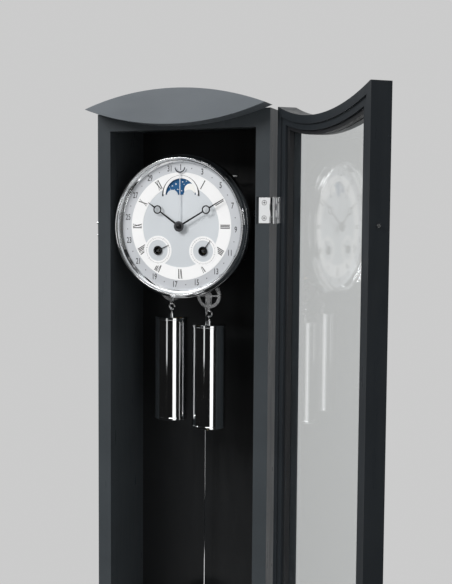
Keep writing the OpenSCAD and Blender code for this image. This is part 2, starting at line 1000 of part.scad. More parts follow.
module post_nuts() {
    color(steel)
        for (p = posts)
            difference() {
                bar(p, stud_r * 1.9, panel_depth + back_t, panel_depth + back_t + back_set - 0.6, $fn = 6);
                bar(p, stud_r + run_gap, panel_depth + back_t - 1, panel_depth + back_t + back_set);
            }
}

module front_plate() {
    color(brass)
        difference() {
            union() {
                bar([0, 0], plate_r, plate_back, plate_inner);
                bar([0, -motion_dist], centre_arbor_r, hour_wheel_depth - 1, plate_back + eps);
                bar([0, moon_up], centre_arbor_r, dial_t + 1.8, plate_back + eps);
            }
            bar([0, 0], centre_arbor_r + run_gap, plate_back - 1, plate_inner + 1);
            for (p = [third_at, escape_at, [0, pivot_up]])
                bar(p, arbor_r + run_gap, plate_back + 1, plate_inner + 1);
            for (p = [square_left, square_right])
                bar(p, winder_r + run_gap, plate_back - 1, plate_inner + 1);
        }
}

module back_plate() {
    color(brass)
        difference() {
            union() {
                bar([0, 0], plate_r, plate_rear, movement_rear);
                bar([hammer_x, hammer_up], arbor_r + 0.5, movement_rear - eps, hammer_depth + 2.5);
                for (s = [-1, 1])
                    bar([s * anchor_x, -anchor_down], anchor_r, cable_back - 4, plate_rear + eps);
            }
            bar([0, 0], centre_arbor_r + run_gap, plate_rear - 1, movement_rear - 1);
            for (p = [third_at, escape_at])
                bar(p, arbor_r + run_gap, plate_rear - 1, movement_rear - 1);
            bar([0, pivot_up], arbor_r + run_gap, plate_rear - 1, movement_rear + 1);
            for (p = [square_left, square_right])
                bar(p, winder_r + run_gap, plate_rear - 1, movement_rear - 1);
            for (s = [-1, 1])
                translate([s * anchor_x, dial_y + cable_back, dial_z - anchor_down - anchor_r - 1])
                    cylinder(r = cable_r + anchor_gap, h = 2 * anchor_r + 2);
        }
}

// Pillars between the plates, and the feet that carry the dial
module plate_pillars() {
    color(brass) {
        for (p = pillars)
            bar(p, pillar_r, plate_inner, plate_rear);
        for (p = dial_feet)
            bar(p, pillar_r - 1, dial_t, plate_back);
    }
}

// Dial

// The moon window: an arch with two humps at its foot
module moon_window() {
    translate([0, moon_up])
        difference() {
            circle(r = moon_r);
            translate([-moon_r - 1, -moon_r - 1])
                square([2 * moon_r + 2, moon_r + 1]);
            for (s = [-1, 1])
                translate([s * hump_off, -hump_drop])
                    circle(r = hump_r);
        }
}

module dial_plate() {
    color(silver)
        layer(0, dial_t)
            difference() {
                circle(r = bezel_r - bezel_wall - face_gap, $fn = 128);
                circle(r = dial_hole_r);
                moon_window();
                for (p = [square_left, square_right])
                    translate(p)
                        circle(r = collar_tube_r + 0.1);
            }
}

module chapter_ring() {
    color(white)
        layer(-ring_t, 0)
            difference() {
                circle(r = chapter_r, $fn = 128);
                circle(r = chapter_in_r, $fn = 128);
                moon_window();
                for (p = [square_left, square_right])
                    translate(p)
                        circle(r = small_r + 0.1);
            }
}

// White rings of the two small dials
module small_dials() {
    color(white)
        layer(-ring_t, 0)
            for (p = [square_left, square_right])
                translate(p)
                    difference() {
                        circle(r = small_r);
                        circle(r = small_in_r);
                    }
}

// The bezel: a stepped ring with a sloping flank in front of the dial, and a drum round its edge
module bezel() {
    color(chrome)
        turned([0, 0], $fn = 128)
            polygon([
                [bezel_in_r, 0],
                [bezel_in_r, -0.1 * bezel_fwd],
                [bezel_in_r + 3, -0.46 * bezel_fwd],
                [bezel_in_r + 4.3, -0.51 * bezel_fwd],
                [bezel_in_r + 4.6, -0.68 * bezel_fwd],
                [bezel_r - 7.4, -0.89 * bezel_fwd],
                [bezel_r - 6.9, -bezel_fwd + 0.6],
                [bezel_r - 6.2, -bezel_fwd],
                [bezel_r - 5.4, -bezel_fwd],
                [bezel_r - 4.8, -0.9 * bezel_fwd],
                [bezel_r - 2.4, -0.64 * bezel_fwd],
                [bezel_r - 0.8, -0.24 * bezel_fwd],
                [bezel_r, -0.14 * bezel_fwd],
                [bezel_r, bezel_back],
                [bezel_r - bezel_wall, bezel_back],
                [bezel_r - bezel_wall, 0]
            ]);
}

// Teeth and arbors of the train

module centre_arbor() {
    color(brass) {
        bar([0, 0], centre_arbor_r, -minute_hand_fwd - nut_h + 1, movement_rear - 1.2);
        layer(great_depth - 0.5, great_depth + great_t + 0.5)
            polygon(gear_points(centre_pinion, great_m, centre_pinion_tooth));
        layer(centre_wheel_depth, centre_wheel_depth + wheel_t)
            wheel_2d(centre_teeth, train_m, 0, 2.5, 4, 4, 2.4);
        difference() {
            union() {
                layer(cannon_depth, cannon_depth + cannon_t)
                    polygon(gear_points(cannon_teeth, motion_m, 0));
                bar([0, 0], cannon_r, -minute_hand_fwd + eps, cannon_depth + eps);
            }
            bar([0, 0], centre_arbor_r - 0.2, -minute_hand_fwd - 1, cannon_depth + cannon_t + 1);
        }
    }
}

module third_wheel() {
    color(brass) {
        bar(third_at, arbor_r, plate_back + 1.2, movement_rear - 1.2);
        layer(centre_wheel_depth - 1, centre_wheel_depth + pinion_t - 1)
            translate(third_at)
                polygon(gear_points(third_pinion, train_m, third_pinion_tooth));
        layer(third_wheel_depth, third_wheel_depth + wheel_t)
            translate(third_at)
                wheel_2d(third_teeth, escape_m, 0, 2.2, 3.2, 4, 2);
    }
}

// Pointed teeth of the escape wheel
function escape_points() = [
    for (i = [0:escape_teeth - 1], k = [0:2])
        let (
            r = k == 1 ? escape_r : escape_r * 0.84,
            a = (i + [-0.1, 0.28, 0.32][k]) * 360 / escape_teeth
        )
        [r * cos(a), r * sin(a)]
];

module escape_wheel() {
    color(brass) {
        bar(escape_at, arbor_r, plate_back + 1.2, movement_rear - 1.2);
        layer(third_wheel_depth - 1, third_wheel_depth + pinion_t - 1)
            translate(escape_at)
                polygon(gear_points(escape_pinion, escape_m, escape_pinion_tooth));
        layer(escape_depth, escape_depth + wheel_t)
            translate(escape_at)
                difference() {
                    polygon(escape_points());
                    windows(3, escape_r * 0.84 - 2, 4, 1.8);
                }
    }
}

// The great wheel of the going train turns on the left winding arbor and drives the centre pinion
module great_wheel() {
    color(brass)
        layer(great_depth, great_depth + great_t)
            translate(square_left)
                difference() {
                    wheel_2d(great_teeth, great_m, great_tooth, 4, winder_r + 4, 5, 5);
                    circle(r = winder_r + run_gap);
                }
}

module minute_wheel() {
    color(brass)
        difference() {
            union() {
                layer(cannon_depth + 1, cannon_depth + 1 + motion_t)
                    translate([0, -motion_dist])
                        polygon(gear_points(minute_teeth, motion_m, minute_tooth));
                layer(hour_wheel_depth, cannon_depth + 1 + eps)
                    translate([0, -motion_dist])
                        polygon(gear_points(minute_pinion, hour_m, minute_pinion_tooth));
            }
            bar([0, -motion_dist], centre_arbor_r + run_gap, hour_wheel_depth - 1, plate_back);
        }
}

module hour_wheel() {
    color(brass)
        difference() {
            union() {
                layer(hour_wheel_depth, hour_wheel_depth + motion_t)
                    polygon(gear_points(hour_teeth, hour_m, hour_tooth));
                bar([0, 0], hour_pipe_r, -hour_hand_fwd, hour_wheel_depth + eps);
            }
            bar([0, 0], hour_pipe_in, -hour_hand_fwd - 1, hour_wheel_depth + motion_t + 1);
        }
}

// Hands

// A tapered blade with a ring in it, pointing up
module ring_blade(length, ring_at, w, tip_w) {
    difference() {
        union() {
            polygon([[-w / 2, 0], [w / 2, 0], [w * 0.34, ring_at], [-w * 0.34, ring_at]]);
            translate([0, ring_at])
                circle(r = ring_r);
            polygon([
                [-w * 0.45, ring_at + ring_in_r],
                [w * 0.45, ring_at + ring_in_r],
                [tip_w / 2, length],
                [-tip_w / 2, length]
            ]);
        }
        translate([0, ring_at])
            circle(r = ring_in_r);
    }
}

module minute_hand() {
    color(dark) {
        layer(-minute_hand_fwd - hand_t, -minute_hand_fwd)
            difference() {
                union() {
                    circle(r = hub_r);
                    rotate(-minute_at)
                        ring_blade(minute_l, minute_ring, blade_w, 0.6);
                }
                circle(r = centre_arbor_r + run_gap);
            }
        difference() {
            turned([0, 0])
                polygon([
                    [0, -minute_hand_fwd - hand_t - nut_h],
                    [nut_r * 0.55, -minute_hand_fwd - hand_t - nut_h + 0.5],
                    [nut_r * 0.88, -minute_hand_fwd - hand_t - nut_h + 1.7],
                    [nut_r, -minute_hand_fwd - hand_t - 1],
                    [nut_r, -minute_hand_fwd - hand_t + eps],
                    [0, -minute_hand_fwd - hand_t + eps]
                ]);
            bar([0, 0], centre_arbor_r + run_gap, -minute_hand_fwd - nut_h + 0.9, 0);
        }
    }
}

module hour_hand() {
    color(dark)
        layer(-hour_hand_fwd - hand_t, -hour_hand_fwd)
            difference() {
                union() {
                    circle(r = hub_r - 1.5);
                    rotate(-hour_at)
                        ring_blade(hour_l, hour_ring, blade_w, 0.8);
                }
                circle(r = hour_pipe_in);
            }
}

// The date hand, with its pipe and wheel behind the dial
module date_hand() {
    crescent_w = 2;
    stem_l = date_ring_r - crescent_r + crescent_w / 2;
    date_teeth = 31;
    date_wheel_r = 20;
    color(chrome) {
        layer(-date_hand_fwd - hand_t, -date_hand_fwd)
            difference() {
                union() {
                    circle(r = hub_r - 2.5);
                    polygon([[-0.6, 0], [0.6, 0], [0.5, stem_l], [-0.5, stem_l]]);
                    translate([0, date_ring_r])
                        difference() {
                            circle(r = crescent_r);
                            translate([0, crescent_w / 2])
                                circle(r = crescent_r - crescent_w / 2);
                            translate([-crescent_r - 1, 0])
                                square([2 * crescent_r + 2, crescent_r + 1]);
                        }
                }
                circle(r = date_pipe_in);
            }
        difference() {
            bar([0, 0], date_pipe_r, -date_hand_fwd - eps, date_wheel_depth + eps);
            bar([0, 0], date_pipe_in, -date_hand_fwd - 1, date_wheel_depth + 1);
        }
        layer(date_wheel_depth, date_wheel_depth + star_t)
            difference() {
                polygon(gear_points(date_teeth, 2 * date_wheel_r / date_teeth, 0));
                circle(r = date_pipe_in);
            }
    }
}

// A small hand: a collar that the winding key passes through, a pointer, and a star wheel behind the dial
module small_hand(at, angle, star_teeth) {
    color(dark)
        difference() {
            union() {
                bar(at, collar_r, -ring_t - 1.8, -ring_t - 0.2);
                bar(at, collar_tube_r, -ring_t - 0.3, collar_back);
                layer(-ring_t - 1.4, -ring_t - 0.6)
                    translate(at)
                        rotate(-angle)
                            polygon([[-0.9, 0], [0.9, 0], [0.25, pointer_l], [-0.25, pointer_l]]);
                layer(collar_back - star_t, collar_back)
                    translate(at)
                        polygon([
                            for (i = [0:2 * star_teeth - 1])
                                let (r = i % 2 == 0 ? star_r : star_r * 0.72)
                                [r * cos(i * 180 / star_teeth), r * sin(i * 180 / star_teeth)]
                        ]);
            }
            bar(at, collar_in_r, -ring_t - 3, collar_back + 1);
        }
}

module day_pointer() {
    days = 7;
    small_hand(square_left, day_at, days);
}

module month_pointer() {
    months = 12;
    small_hand(square_right, month_at, months);
}

// The moon disc turns on a stud of the front plate, behind its window
module moon_disc() {
    color("#20508c")
        difference() {
            union() {
                bar([0, moon_up], moon_r + 2.5, dial_t + 1, dial_t + 2.2);
                bar([0, moon_up], centre_arbor_r + 1.5, dial_t + 2, dial_t + 6);
            }
            bar([0, moon_up], centre_arbor_r + run_gap, dial_t + 1.6, dial_t + 7);
        }
}

// Pallets, arbor and crutch: the pallets stop just clear of the escape wheel's teeth
module pallet_anchor() {
    arm_w = 2.4;
    fork_back = pendulum_back + 4;
    pallet_half = escape_r * sin(45);
    pallet_z = escape_at[1] + (escape_r + pallet_gap) * cos(45);
    color(steel) {
        bar([0, pivot_up], arbor_r, plate_back + 1.2, crutch_depth + crutch_t);
        layer(escape_depth - 0.3, escape_depth + wheel_t + 0.3)
            difference() {
                union() {
                    translate([0, pivot_up])
                        circle(r = 3);
                    for (s = [-1, 1])
                        polygon([
                            [s * -1, pivot_up + 2.6],
                            [s * 1, pivot_up - 1],
                            [s * (pallet_half - arm_w / 2), pallet_z + 4],
                            [s * (pallet_half + 0.4), pallet_z - 2],
                            [s * (pallet_half + arm_w), pallet_z + 1],
                            [s * (pallet_half + arm_w / 2), pallet_z + 6]
                        ]);
                }
                translate(escape_at)
                    circle(r = escape_r + pallet_gap);
            }
        layer(crutch_depth, crutch_depth + crutch_t)
            translate([-1.5, pivot_up - crutch_l])
                square([3, crutch_l]);
        layer(crutch_depth, crutch_depth + crutch_t)
            translate([-4, pivot_up - crutch_l - 1])
                square([8, 3]);
        for (s = [-1, 1])
            bar([s * (rod_r + 1.3), pivot_up - crutch_l], 1, crutch_depth + crutch_t - eps, fork_back);
    }
}

// Pendulum

module suspension_cock() {
    foot_front = panel_depth - cock_foot_t;
    front = pendulum_back - block_t / 2 - face_gap;
    back = pendulum_back + block_t / 2 + face_gap;
    color(steel) {
        layer(foot_front, panel_depth)
            translate([-cock_foot_w / 2, pivot_up - cock_foot_h / 2])
                square([cock_foot_w, cock_foot_h]);
        bar([0, pivot_up], 4, back, foot_front + eps);
        bar([0, pivot_up], cock_pin_r, front - eps, foot_front);
        bar([0, pivot_up], 2 * cock_pin_r, front - cock_pin_r, front);
    }
}

// The rod with its suspension: a block on the cock's pin, a spring strip, and the rod itself
module pendulum_rod() {
    block_low = pivot_up - block_w / 2;
    spring_low = block_low - spring_l;
    joint_h = 8;
    rod_low = bob_z - bob_r - rating_nut_h - rod_end;
    block_front = pendulum_back - block_t / 2;
    color(chrome) {
        difference() {
            layer(block_front, block_front + block_t)
                translate([-block_w / 2, block_low])
                    square([block_w, block_w]);
            bar([0, pivot_up], cock_pin_r + run_gap, block_front - 1, block_front + block_t + 1);
        }
        layer(block_front + 0.5, block_front + block_t - 0.5)
            translate([-spring_t / 2, spring_low - eps])
                square([spring_t, spring_l + 2 * eps]);
        layer(block_front, block_front + block_t)
            translate([-block_w / 3, spring_low - joint_h])
                square([block_w * 2 / 3, joint_h]);
        translate([0, dial_y + pendulum_back, dial_z + rod_low])
            cylinder(r = rod_r, h = spring_low - joint_h - rod_low + eps);
    }
}

module pendulum_bob() {
    edge = 3;
    color(chrome)
        difference() {
            translate([0, dial_y + pendulum_back, dial_z + bob_z])
                rotate([90, 0, 0])
                    rotate_extrude($fn = 96)
                        polygon([
                            [0, -bob_t / 2],
                            [bob_r * 0.4, -bob_t * 0.45],
                            [bob_r * 0.75, -bob_t * 0.29],
                            [bob_r - 1, -edge / 2],
                            [bob_r, -edge / 4],
                            [bob_r, edge / 4],
                            [bob_r - 1, edge / 2],
                            [bob_r * 0.75, bob_t * 0.29],
                            [bob_r * 0.4, bob_t * 0.45],
                            [0, bob_t / 2]
                        ]);
            translate([0, dial_y + pendulum_back, dial_z + bob_z - bob_r - 1])
                cylinder(r = rod_r + run_gap, h = 2 * bob_r + 2);
        }
}

module rating_nut() {
    color(brass)
        translate([0, dial_y + pendulum_back, dial_z + bob_z - bob_r - face_gap - rating_nut_h])
            difference() {
                cylinder(r = rating_nut_r, h = rating_nut_h);
                translate([0, 0, -1])
                    cylinder(r = rod_r + run_gap, h = rating_nut_h + 2);
            }
}

// Strike

module gong() {
    color(steel) {
        layer(hammer_depth - 6, panel_depth)
            translate([-gong_half - gong_block, gong_up - gong_block / 2])
                square([gong_block, gong_block]);
        translate([-gong_half - 1, dial_y + hammer_depth, dial_z + gong_up])
            rotate([0, 90, 0])
                cylinder(r = gong_r, h = 2 * gong_half + 1);
    }
}

module hammer() {
    color(brass)
        difference() {
            union() {
                bar([hammer_x, hammer_up], 4, hammer_depth - 2.5, hammer_depth + 2);
                layer(hammer_depth - 1, hammer_depth + 1)
                    translate([hammer_x - hammer_l, hammer_up - 1])
                        square([hammer_l, 2]);
                translate([hammer_x - hammer_l, dial_y + hammer_depth, dial_z + hammer_up])
                    cylinder(r = hammer_head / 2, h = hammer_head, center = true);
            }
            bar([hammer_x, hammer_up], arbor_r + 0.5 + run_gap, hammer_depth - 4, hammer_depth + 4);
        }
}

// Drums

module drum(at) {
    bar(at, winder_r, 3, movement_rear - 1.2);
    bar(at, drum_r, drum_front, drum_back);
    for (d = [drum_front, drum_back - flange_t])
        bar(at, flange_r, d, d + flange_t);
    layer(-1, 3 + eps)
        translate([at[0] - square_side / 2, at[1] - square_side / 2])
            square([square_side, square_side]);
}

module drum_left() {
    color(brass)
        drum(square_left);
}

// The strike drum carries its own first wheel
module drum_right() {
    color(brass) {
        drum(square_right);
        layer(great_depth, great_depth + great_t)
            translate(square_right)
                polygon(gear_points(strike_teeth, strike_m, 0));
        bar(square_right, winder_r + 3, great_depth, drum_front + eps);
    }
}

// Pulleys, straps and weights; side is -1 for the left and 1 for the right

function pulley_at(side) = [side * pulley_x, -pulley_down[side > 0 ? 1 : 0]];

module pulley_wheel(side) {
    at = pulley_at(side);
    front = cable_back - pulley_w / 2;
    color(chrome)
        difference() {
            turned(at)
                polygon([
                    [axle_r + run_gap, front],
                    [pulley_r, front],
                    [pulley_r, front + 0.8],
                    [groove_r, cable_back - cable_r - 0.3],
                    [groove_r, cable_back + cable_r + 0.3],
                    [pulley_r, front + pulley_w - 0.8],
                    [pulley_r, front + pulley_w],
                    [axle_r + run_gap, front + pulley_w]
                ]);
            layer(front - 1, front + pulley_w + 1)
                translate(at)
                    windows(5.8, groove_r - 1.4, pulley_spokes, 2.4);
        }
}

module pulley_wheel_left() {
    pulley_wheel(-1);
}

module pulley_wheel_right() {
    pulley_wheel(1);
}

// Two cheeks, the axle through them, a block under the wheel, and the open hook below it
module pulley_strap(side) {
    at = pulley_at(side);
    cheek = pulley_w / 2 + cheek_gap;
    block_top = pulley_r + 0.8;
    block_h = 3;
    foot_w = strap_w * 0.55;
    axle_front = cable_back - cheek - strap_t - 0.8;
    ring_mid = hook_r - hook_wire_r;
    hook_low = hook_drop - hook_r;
    opening = side > 0 ? 240 : -10;
    color(chrome) {
        for (d = [cable_back - cheek - strap_t, cable_back + cheek])
            layer(d, d + strap_t)
                translate(at) {
                    circle(r = strap_w / 2);
                    polygon([
                        [-strap_w / 2, 0],
                        [strap_w / 2, 0],
                        [foot_w / 2, -block_top],
                        [foot_w / 2, -block_top - block_h],
                        [-foot_w / 2, -block_top - block_h],
                        [-foot_w / 2, -block_top]
                    ]);
                }
        difference() {
            bar(at, axle_r, axle_front, cable_back + cheek + strap_t + 0.8);
            bar(at, axle_r * 0.55, axle_front - 1, axle_front + 0.7);
        }
        layer(cable_back - cheek - eps, cable_back + cheek + eps)
            translate([at[0] - foot_w / 2, at[1] - block_top - block_h])
                square([foot_w, block_h]);
        translate([at[0], dial_y + cable_back, dial_z + at[1] - hook_low + ring_mid - 1])
            cylinder(r = hook_wire_r + 0.3, h = hook_low - ring_mid - block_top - block_h + 1 + eps);
        translate([at[0], dial_y + cable_back, dial_z + at[1] - hook_low])
            rotate([90, 0, 0])
                rotate([0, 0, opening])
                    rotate_extrude(angle = 310)
                        translate([ring_mid, 0])
                            circle(r = hook_wire_r, $fn = 24);
    }
}

module pulley_strap_left() {
    pulley_strap(-1);
}

module pulley_strap_right() {
    pulley_strap(1);
}

// A weight: a capped shell, a nut and an eye above it, and a nut below it
module weight(side) {
    at = pulley_at(side);
    hook_foot = at[1] - hook_drop;
    top = hook_foot - weight_down;
    eye_mid = hook_foot + 2 * hook_wire_r - eye_in_r + eye_gap;
    color(chrome)
        translate([at[0], dial_y + cable_back, dial_z]) {
            translate([0, 0, top - weight_h])
                rotate_extrude($fn = 96)
                    polygon([
                        [0, 0],
                        [cap_r - 1, 0],
                        [cap_r, 1],
                        [cap_r, cap_h],
                        [weight_r, cap_h + 0.6],
                        [weight_r, weight_h - cap_h - 0.6],
                        [cap_r, weight_h - cap_h],
                        [cap_r, weight_h - 1],
                        [cap_r - 1, weight_h],
                        [0, weight_h]
                    ]);
            translate([0, 0, top - eps])
                cylinder(r = weight_nut_r, h = weight_nut_h + eps);
            translate([0, 0, top + weight_nut_h - eps])
                cylinder(r = eye_in_r, h = eye_mid - eye_in_r - eye_wire_r - top - weight_nut_h + eps);
            translate([0, 0, top - weight_h - weight_foot_h])
                cylinder(r = weight_nut_r, h = weight_foot_h + eps);
            translate([0, 0, eye_mid])
                rotate([0, 90, 0])
                    rotate_extrude()
                        translate([eye_in_r + eye_wire_r, 0])
                            circle(r = eye_wire_r, $fn = 24);
        }
}

module weight_left() {
    weight(-1);
}

module weight_right() {
    weight(1);
}

// Cables: wound on the drum, down to the pulley, under it and up to the anchor at the back plate

function unit(v) = v / norm(v);

// Points of the route, as x outwards from the middle, depth and height about the dial centre
function cable_route(down) = concat(
    [
        for (i = [0:cable_turns * wrap_steps])
            let (a = 360 * (i / wrap_steps - cable_turns))
            [
                square_off + cable_wrap_r * cos(a),
                cable_back + (cable_turns - i / wrap_steps) * cable_pitch,
                -square_off - cable_wrap_r * sin(a)
            ]
    ],
    [
        for (i = [0:loop_steps])
            let (a = -180 * i / loop_steps)
            [pulley_x + cable_loop_r * cos(a), cable_back, -down + cable_loop_r * sin(a)]
    ],
    [[anchor_x, cable_back, -anchor_down + anchor_r + 2]]
);

function route_tangent(p, i) = unit(p[min(i + 1, len(p) - 1)] - p[max(i - 1, 0)]);

// A tube of flat sides along a route that never runs along Y
module tube(p, r, sides) {
    rings = [
        for (i = [0:len(p) - 1])
            let (
                t = route_tangent(p, i),
                u = unit(cross(t, [0, 1, 0])),
                v = cross(t, u)
            )
            [for (k = [0:sides - 1]) p[i] + r * (u * cos(360 * k / sides) + v * sin(360 * k / sides))]
    ];
    n = len(p);
    polyhedron(
        points = [for (ring = rings, q = ring) q],
        faces = concat(
            [[for (k = [0:sides - 1]) k]],
            [[for (k = [sides - 1:-1:0]) (n - 1) * sides + k]],
            [
                for (i = [0:n - 2], k = [0:sides - 1])
                    let (a = i * sides + k, b = i * sides + (k + 1) % sides)
                    [a, a + sides, b]
            ],
            [
                for (i = [0:n - 2], k = [0:sides - 1])
                    let (a = i * sides + k, b = i * sides + (k + 1) % sides)
                    [b, a + sides, b + sides]
            ]
        )
    );
}

// Least space between one turn and the next, measured on the route's points
function least_gap(p) = min([
    for (i = [0:len(p) - 1], j = [i + wrap_steps / 2:1:len(p) - 1])
        norm(p[i] - p[j]) - 2 * cable_r
]);

module cable(side) {
    color(steel)
        translate([0, dial_y, dial_z])
            mirror([side < 0 ? 1 : 0, 0, 0])
                tube(cable_route(pulley_down[side > 0 ? 1 : 0]), cable_r, cable_sides);
}

module cable_left() {
    echo(least_gap_of_cable = least_gap(cable_route(pulley_down_left)));
    cable(-1);
}

module cable_right() {
    cable(1);
}

side_left();
side_right();
end_boards();
back_panel();
face_stile_left();
face_stile_right();
face_rails();
pediment();
hanger_plate();
case_screws();
hinge_case_leaves();
hinge_pins();
movement_posts();
post_nuts();
front_plate();
back_plate();
plate_pillars();
dial_plate();
chapter_ring();
small_dials();
bezel();
suspension_cock();
gong();
door_stile_hinge();
door_stile_free();
door_rail_top();
door_rail_bottom();
door_glass();
glass_beads();
hinge_door_leaves();
hinge_door_screws();
door_pin();
latch_hook();
centre_arbor();
minute_hand();
hour_wheel();
hour_hand();
minute_wheel();
third_wheel();
escape_wheel();
great_wheel();
date_hand();
day_pointer();
month_pointer();
moon_disc();
pallet_anchor();
pendulum_rod();
pendulum_bob();
rating_nut();
hammer();
drum_left();
drum_right();
pulley_wheel_left();
pulley_wheel_right();
pulley_strap_left();
pulley_strap_right();
weight_left();
weight_right();
cable_left();
cable_right();
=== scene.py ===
"""Looks of the wall regulator clock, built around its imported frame."""

import json
import math

import bmesh
import bpy
from mathutils import Matrix, Vector


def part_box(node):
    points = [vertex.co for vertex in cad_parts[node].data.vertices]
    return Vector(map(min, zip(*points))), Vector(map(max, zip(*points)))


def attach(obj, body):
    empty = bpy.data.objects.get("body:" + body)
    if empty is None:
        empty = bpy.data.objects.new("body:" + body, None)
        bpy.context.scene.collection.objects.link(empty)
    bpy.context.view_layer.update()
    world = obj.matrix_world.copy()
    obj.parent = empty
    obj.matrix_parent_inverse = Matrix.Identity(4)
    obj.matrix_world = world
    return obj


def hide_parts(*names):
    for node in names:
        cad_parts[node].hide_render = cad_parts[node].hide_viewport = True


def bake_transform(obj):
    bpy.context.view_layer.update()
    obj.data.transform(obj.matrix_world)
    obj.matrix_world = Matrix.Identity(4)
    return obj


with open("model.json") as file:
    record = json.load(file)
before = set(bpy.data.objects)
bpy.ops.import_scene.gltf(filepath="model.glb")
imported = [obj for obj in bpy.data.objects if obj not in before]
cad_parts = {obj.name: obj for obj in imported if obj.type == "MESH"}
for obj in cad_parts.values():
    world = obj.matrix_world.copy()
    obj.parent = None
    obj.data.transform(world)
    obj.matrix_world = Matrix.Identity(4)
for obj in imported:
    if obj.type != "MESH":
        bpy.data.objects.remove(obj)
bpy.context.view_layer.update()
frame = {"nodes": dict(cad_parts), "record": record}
record = frame["record"]
node_body = {n: b for b, names in record["behaviour"]["bodies"].items() for n in names}
node_slot = {s["node"]: s["material_slot"] for s in record["subparts"]}

# Metres: one millimetre, and the place of the dial's face in the row frame
MM = 0.001
DIAL_Y = -0.150
DIAL_Z = -0.130

# Millimetres: the hour ring's thickness, how far the winding squares stand to the side and below the
# dial's middle, how far the moon disc's axis stands above it, the cables' depth behind the dial's face,
# and how far print stands out of its ground and reaches into it
RING_T = 0.4
SQUARE = 39.5
MOON_UP = 51.0
ROPE_DEPTH = 45.0
INK_T, THIN_INK_T, SUNK = 0.07, 0.06, 0.01


# Materials

def new_tree(name):
    m = bpy.data.materials.new(name)
    m.use_nodes = True
    return m, m.node_tree.nodes, m.node_tree.links


def surface(name, base, metallic=0.0, rough=0.4, tint=0.10, tint_scale=9.0, grain=0.06, grain_scale=900.0,
            bump=0.05, stretch=(1, 1, 1), edge=None, edge_r=0.0006, smudge=0.25, specular=0.5):
    """A painted, plated or wooden surface: drifting colour, grain, smudges, worn edges and a light bump."""
    m, nodes, links = new_tree(name)
    shader = nodes["Principled BSDF"]
    shader.inputs["Metallic"].default_value = metallic
    shader.inputs["Specular IOR Level"].default_value = specular
    coords = nodes.new("ShaderNodeTexCoord")
    mapping = nodes.new("ShaderNodeMapping")
    mapping.inputs["Scale"].default_value = stretch
    links.new(coords.outputs["Object"], mapping.inputs["Vector"])

    def noise(scale, detail, source):
        n = nodes.new("ShaderNodeTexNoise")
        n.inputs["Scale"].default_value = scale
        n.inputs["Detail"].default_value = detail
        n.inputs["Roughness"].default_value = 0.55
        links.new(source, n.inputs["Vector"])
        return n.outputs["Fac"]

    drift = noise(tint_scale, 3.0, coords.outputs["Object"])
    fine = noise(grain_scale, 2.0, mapping.outputs["Vector"])
    wipe = noise(tint_scale * 3.3, 4.0, mapping.outputs["Vector"])

    def ramp(fac, low, high):
        r = nodes.new("ShaderNodeMapRange")
        r.inputs["From Min"].default_value = 0.3
        r.inputs["From Max"].default_value = 0.7
        r.inputs["To Min"].default_value = low
        r.inputs["To Max"].default_value = high
        links.new(fac, r.inputs["Value"])
        return r.outputs["Result"]

    def mix(fac, a, b):
        x = nodes.new("ShaderNodeMix")
        x.data_type = "RGBA"
        links.new(fac, x.inputs["Factor"])
        for socket, value in ((x.inputs[6], a), (x.inputs[7], b)):
            if isinstance(value, tuple):
                socket.default_value = value
            else:
                links.new(value, socket)
        return x.outputs[2]

    dark = tuple(c * (1 - tint) for c in base) + (1,)
    light = tuple(min(1.0, c * (1 + tint)) for c in base) + (1,)
    colour = mix(ramp(drift, 0.0, 1.0), dark, light)
    grey = tuple(c * (1 - 2 * grain) for c in base) + (1,)
    colour = mix(ramp(fine, 0.0, 2 * grain), colour, grey)
    roughness = ramp(wipe, rough * (1 - smudge), rough * (1 + smudge))
    if edge is not None:
        bevel = nodes.new("ShaderNodeBevel")
        bevel.samples = 4
        bevel.inputs["Radius"].default_value = edge_r
        geometry = nodes.new("ShaderNodeNewGeometry")
        dot = nodes.new("ShaderNodeVectorMath")
        dot.operation = "DOT_PRODUCT"
        links.new(bevel.outputs["Normal"], dot.inputs[0])
        links.new(geometry.outputs["Normal"], dot.inputs[1])
        wear = nodes.new("ShaderNodeMapRange")
        wear.inputs["From Min"].default_value = 0.99
        wear.inputs["From Max"].default_value = 0.80
        wear.inputs["To Max"].default_value = 0.8
        links.new(dot.outputs["Value"], wear.inputs["Value"])
        worn = nodes.new("ShaderNodeMath")
        worn.operation = "MULTIPLY"
        links.new(wear.outputs["Result"], worn.inputs[0])
        links.new(ramp(wipe, 0.2, 1.0), worn.inputs[1])
        colour = mix(worn.outputs["Value"], colour, tuple(edge) + (1,))
    links.new(colour, shader.inputs["Base Color"])
    links.new(roughness, shader.inputs["Roughness"])
    b = nodes.new("ShaderNodeBump")
    b.inputs["Strength"].default_value = bump
    b.inputs["Distance"].default_value = 0.0002
    links.new(fine, b.inputs["Height"])
    links.new(b.outputs["Normal"], shader.inputs["Normal"])
    return m


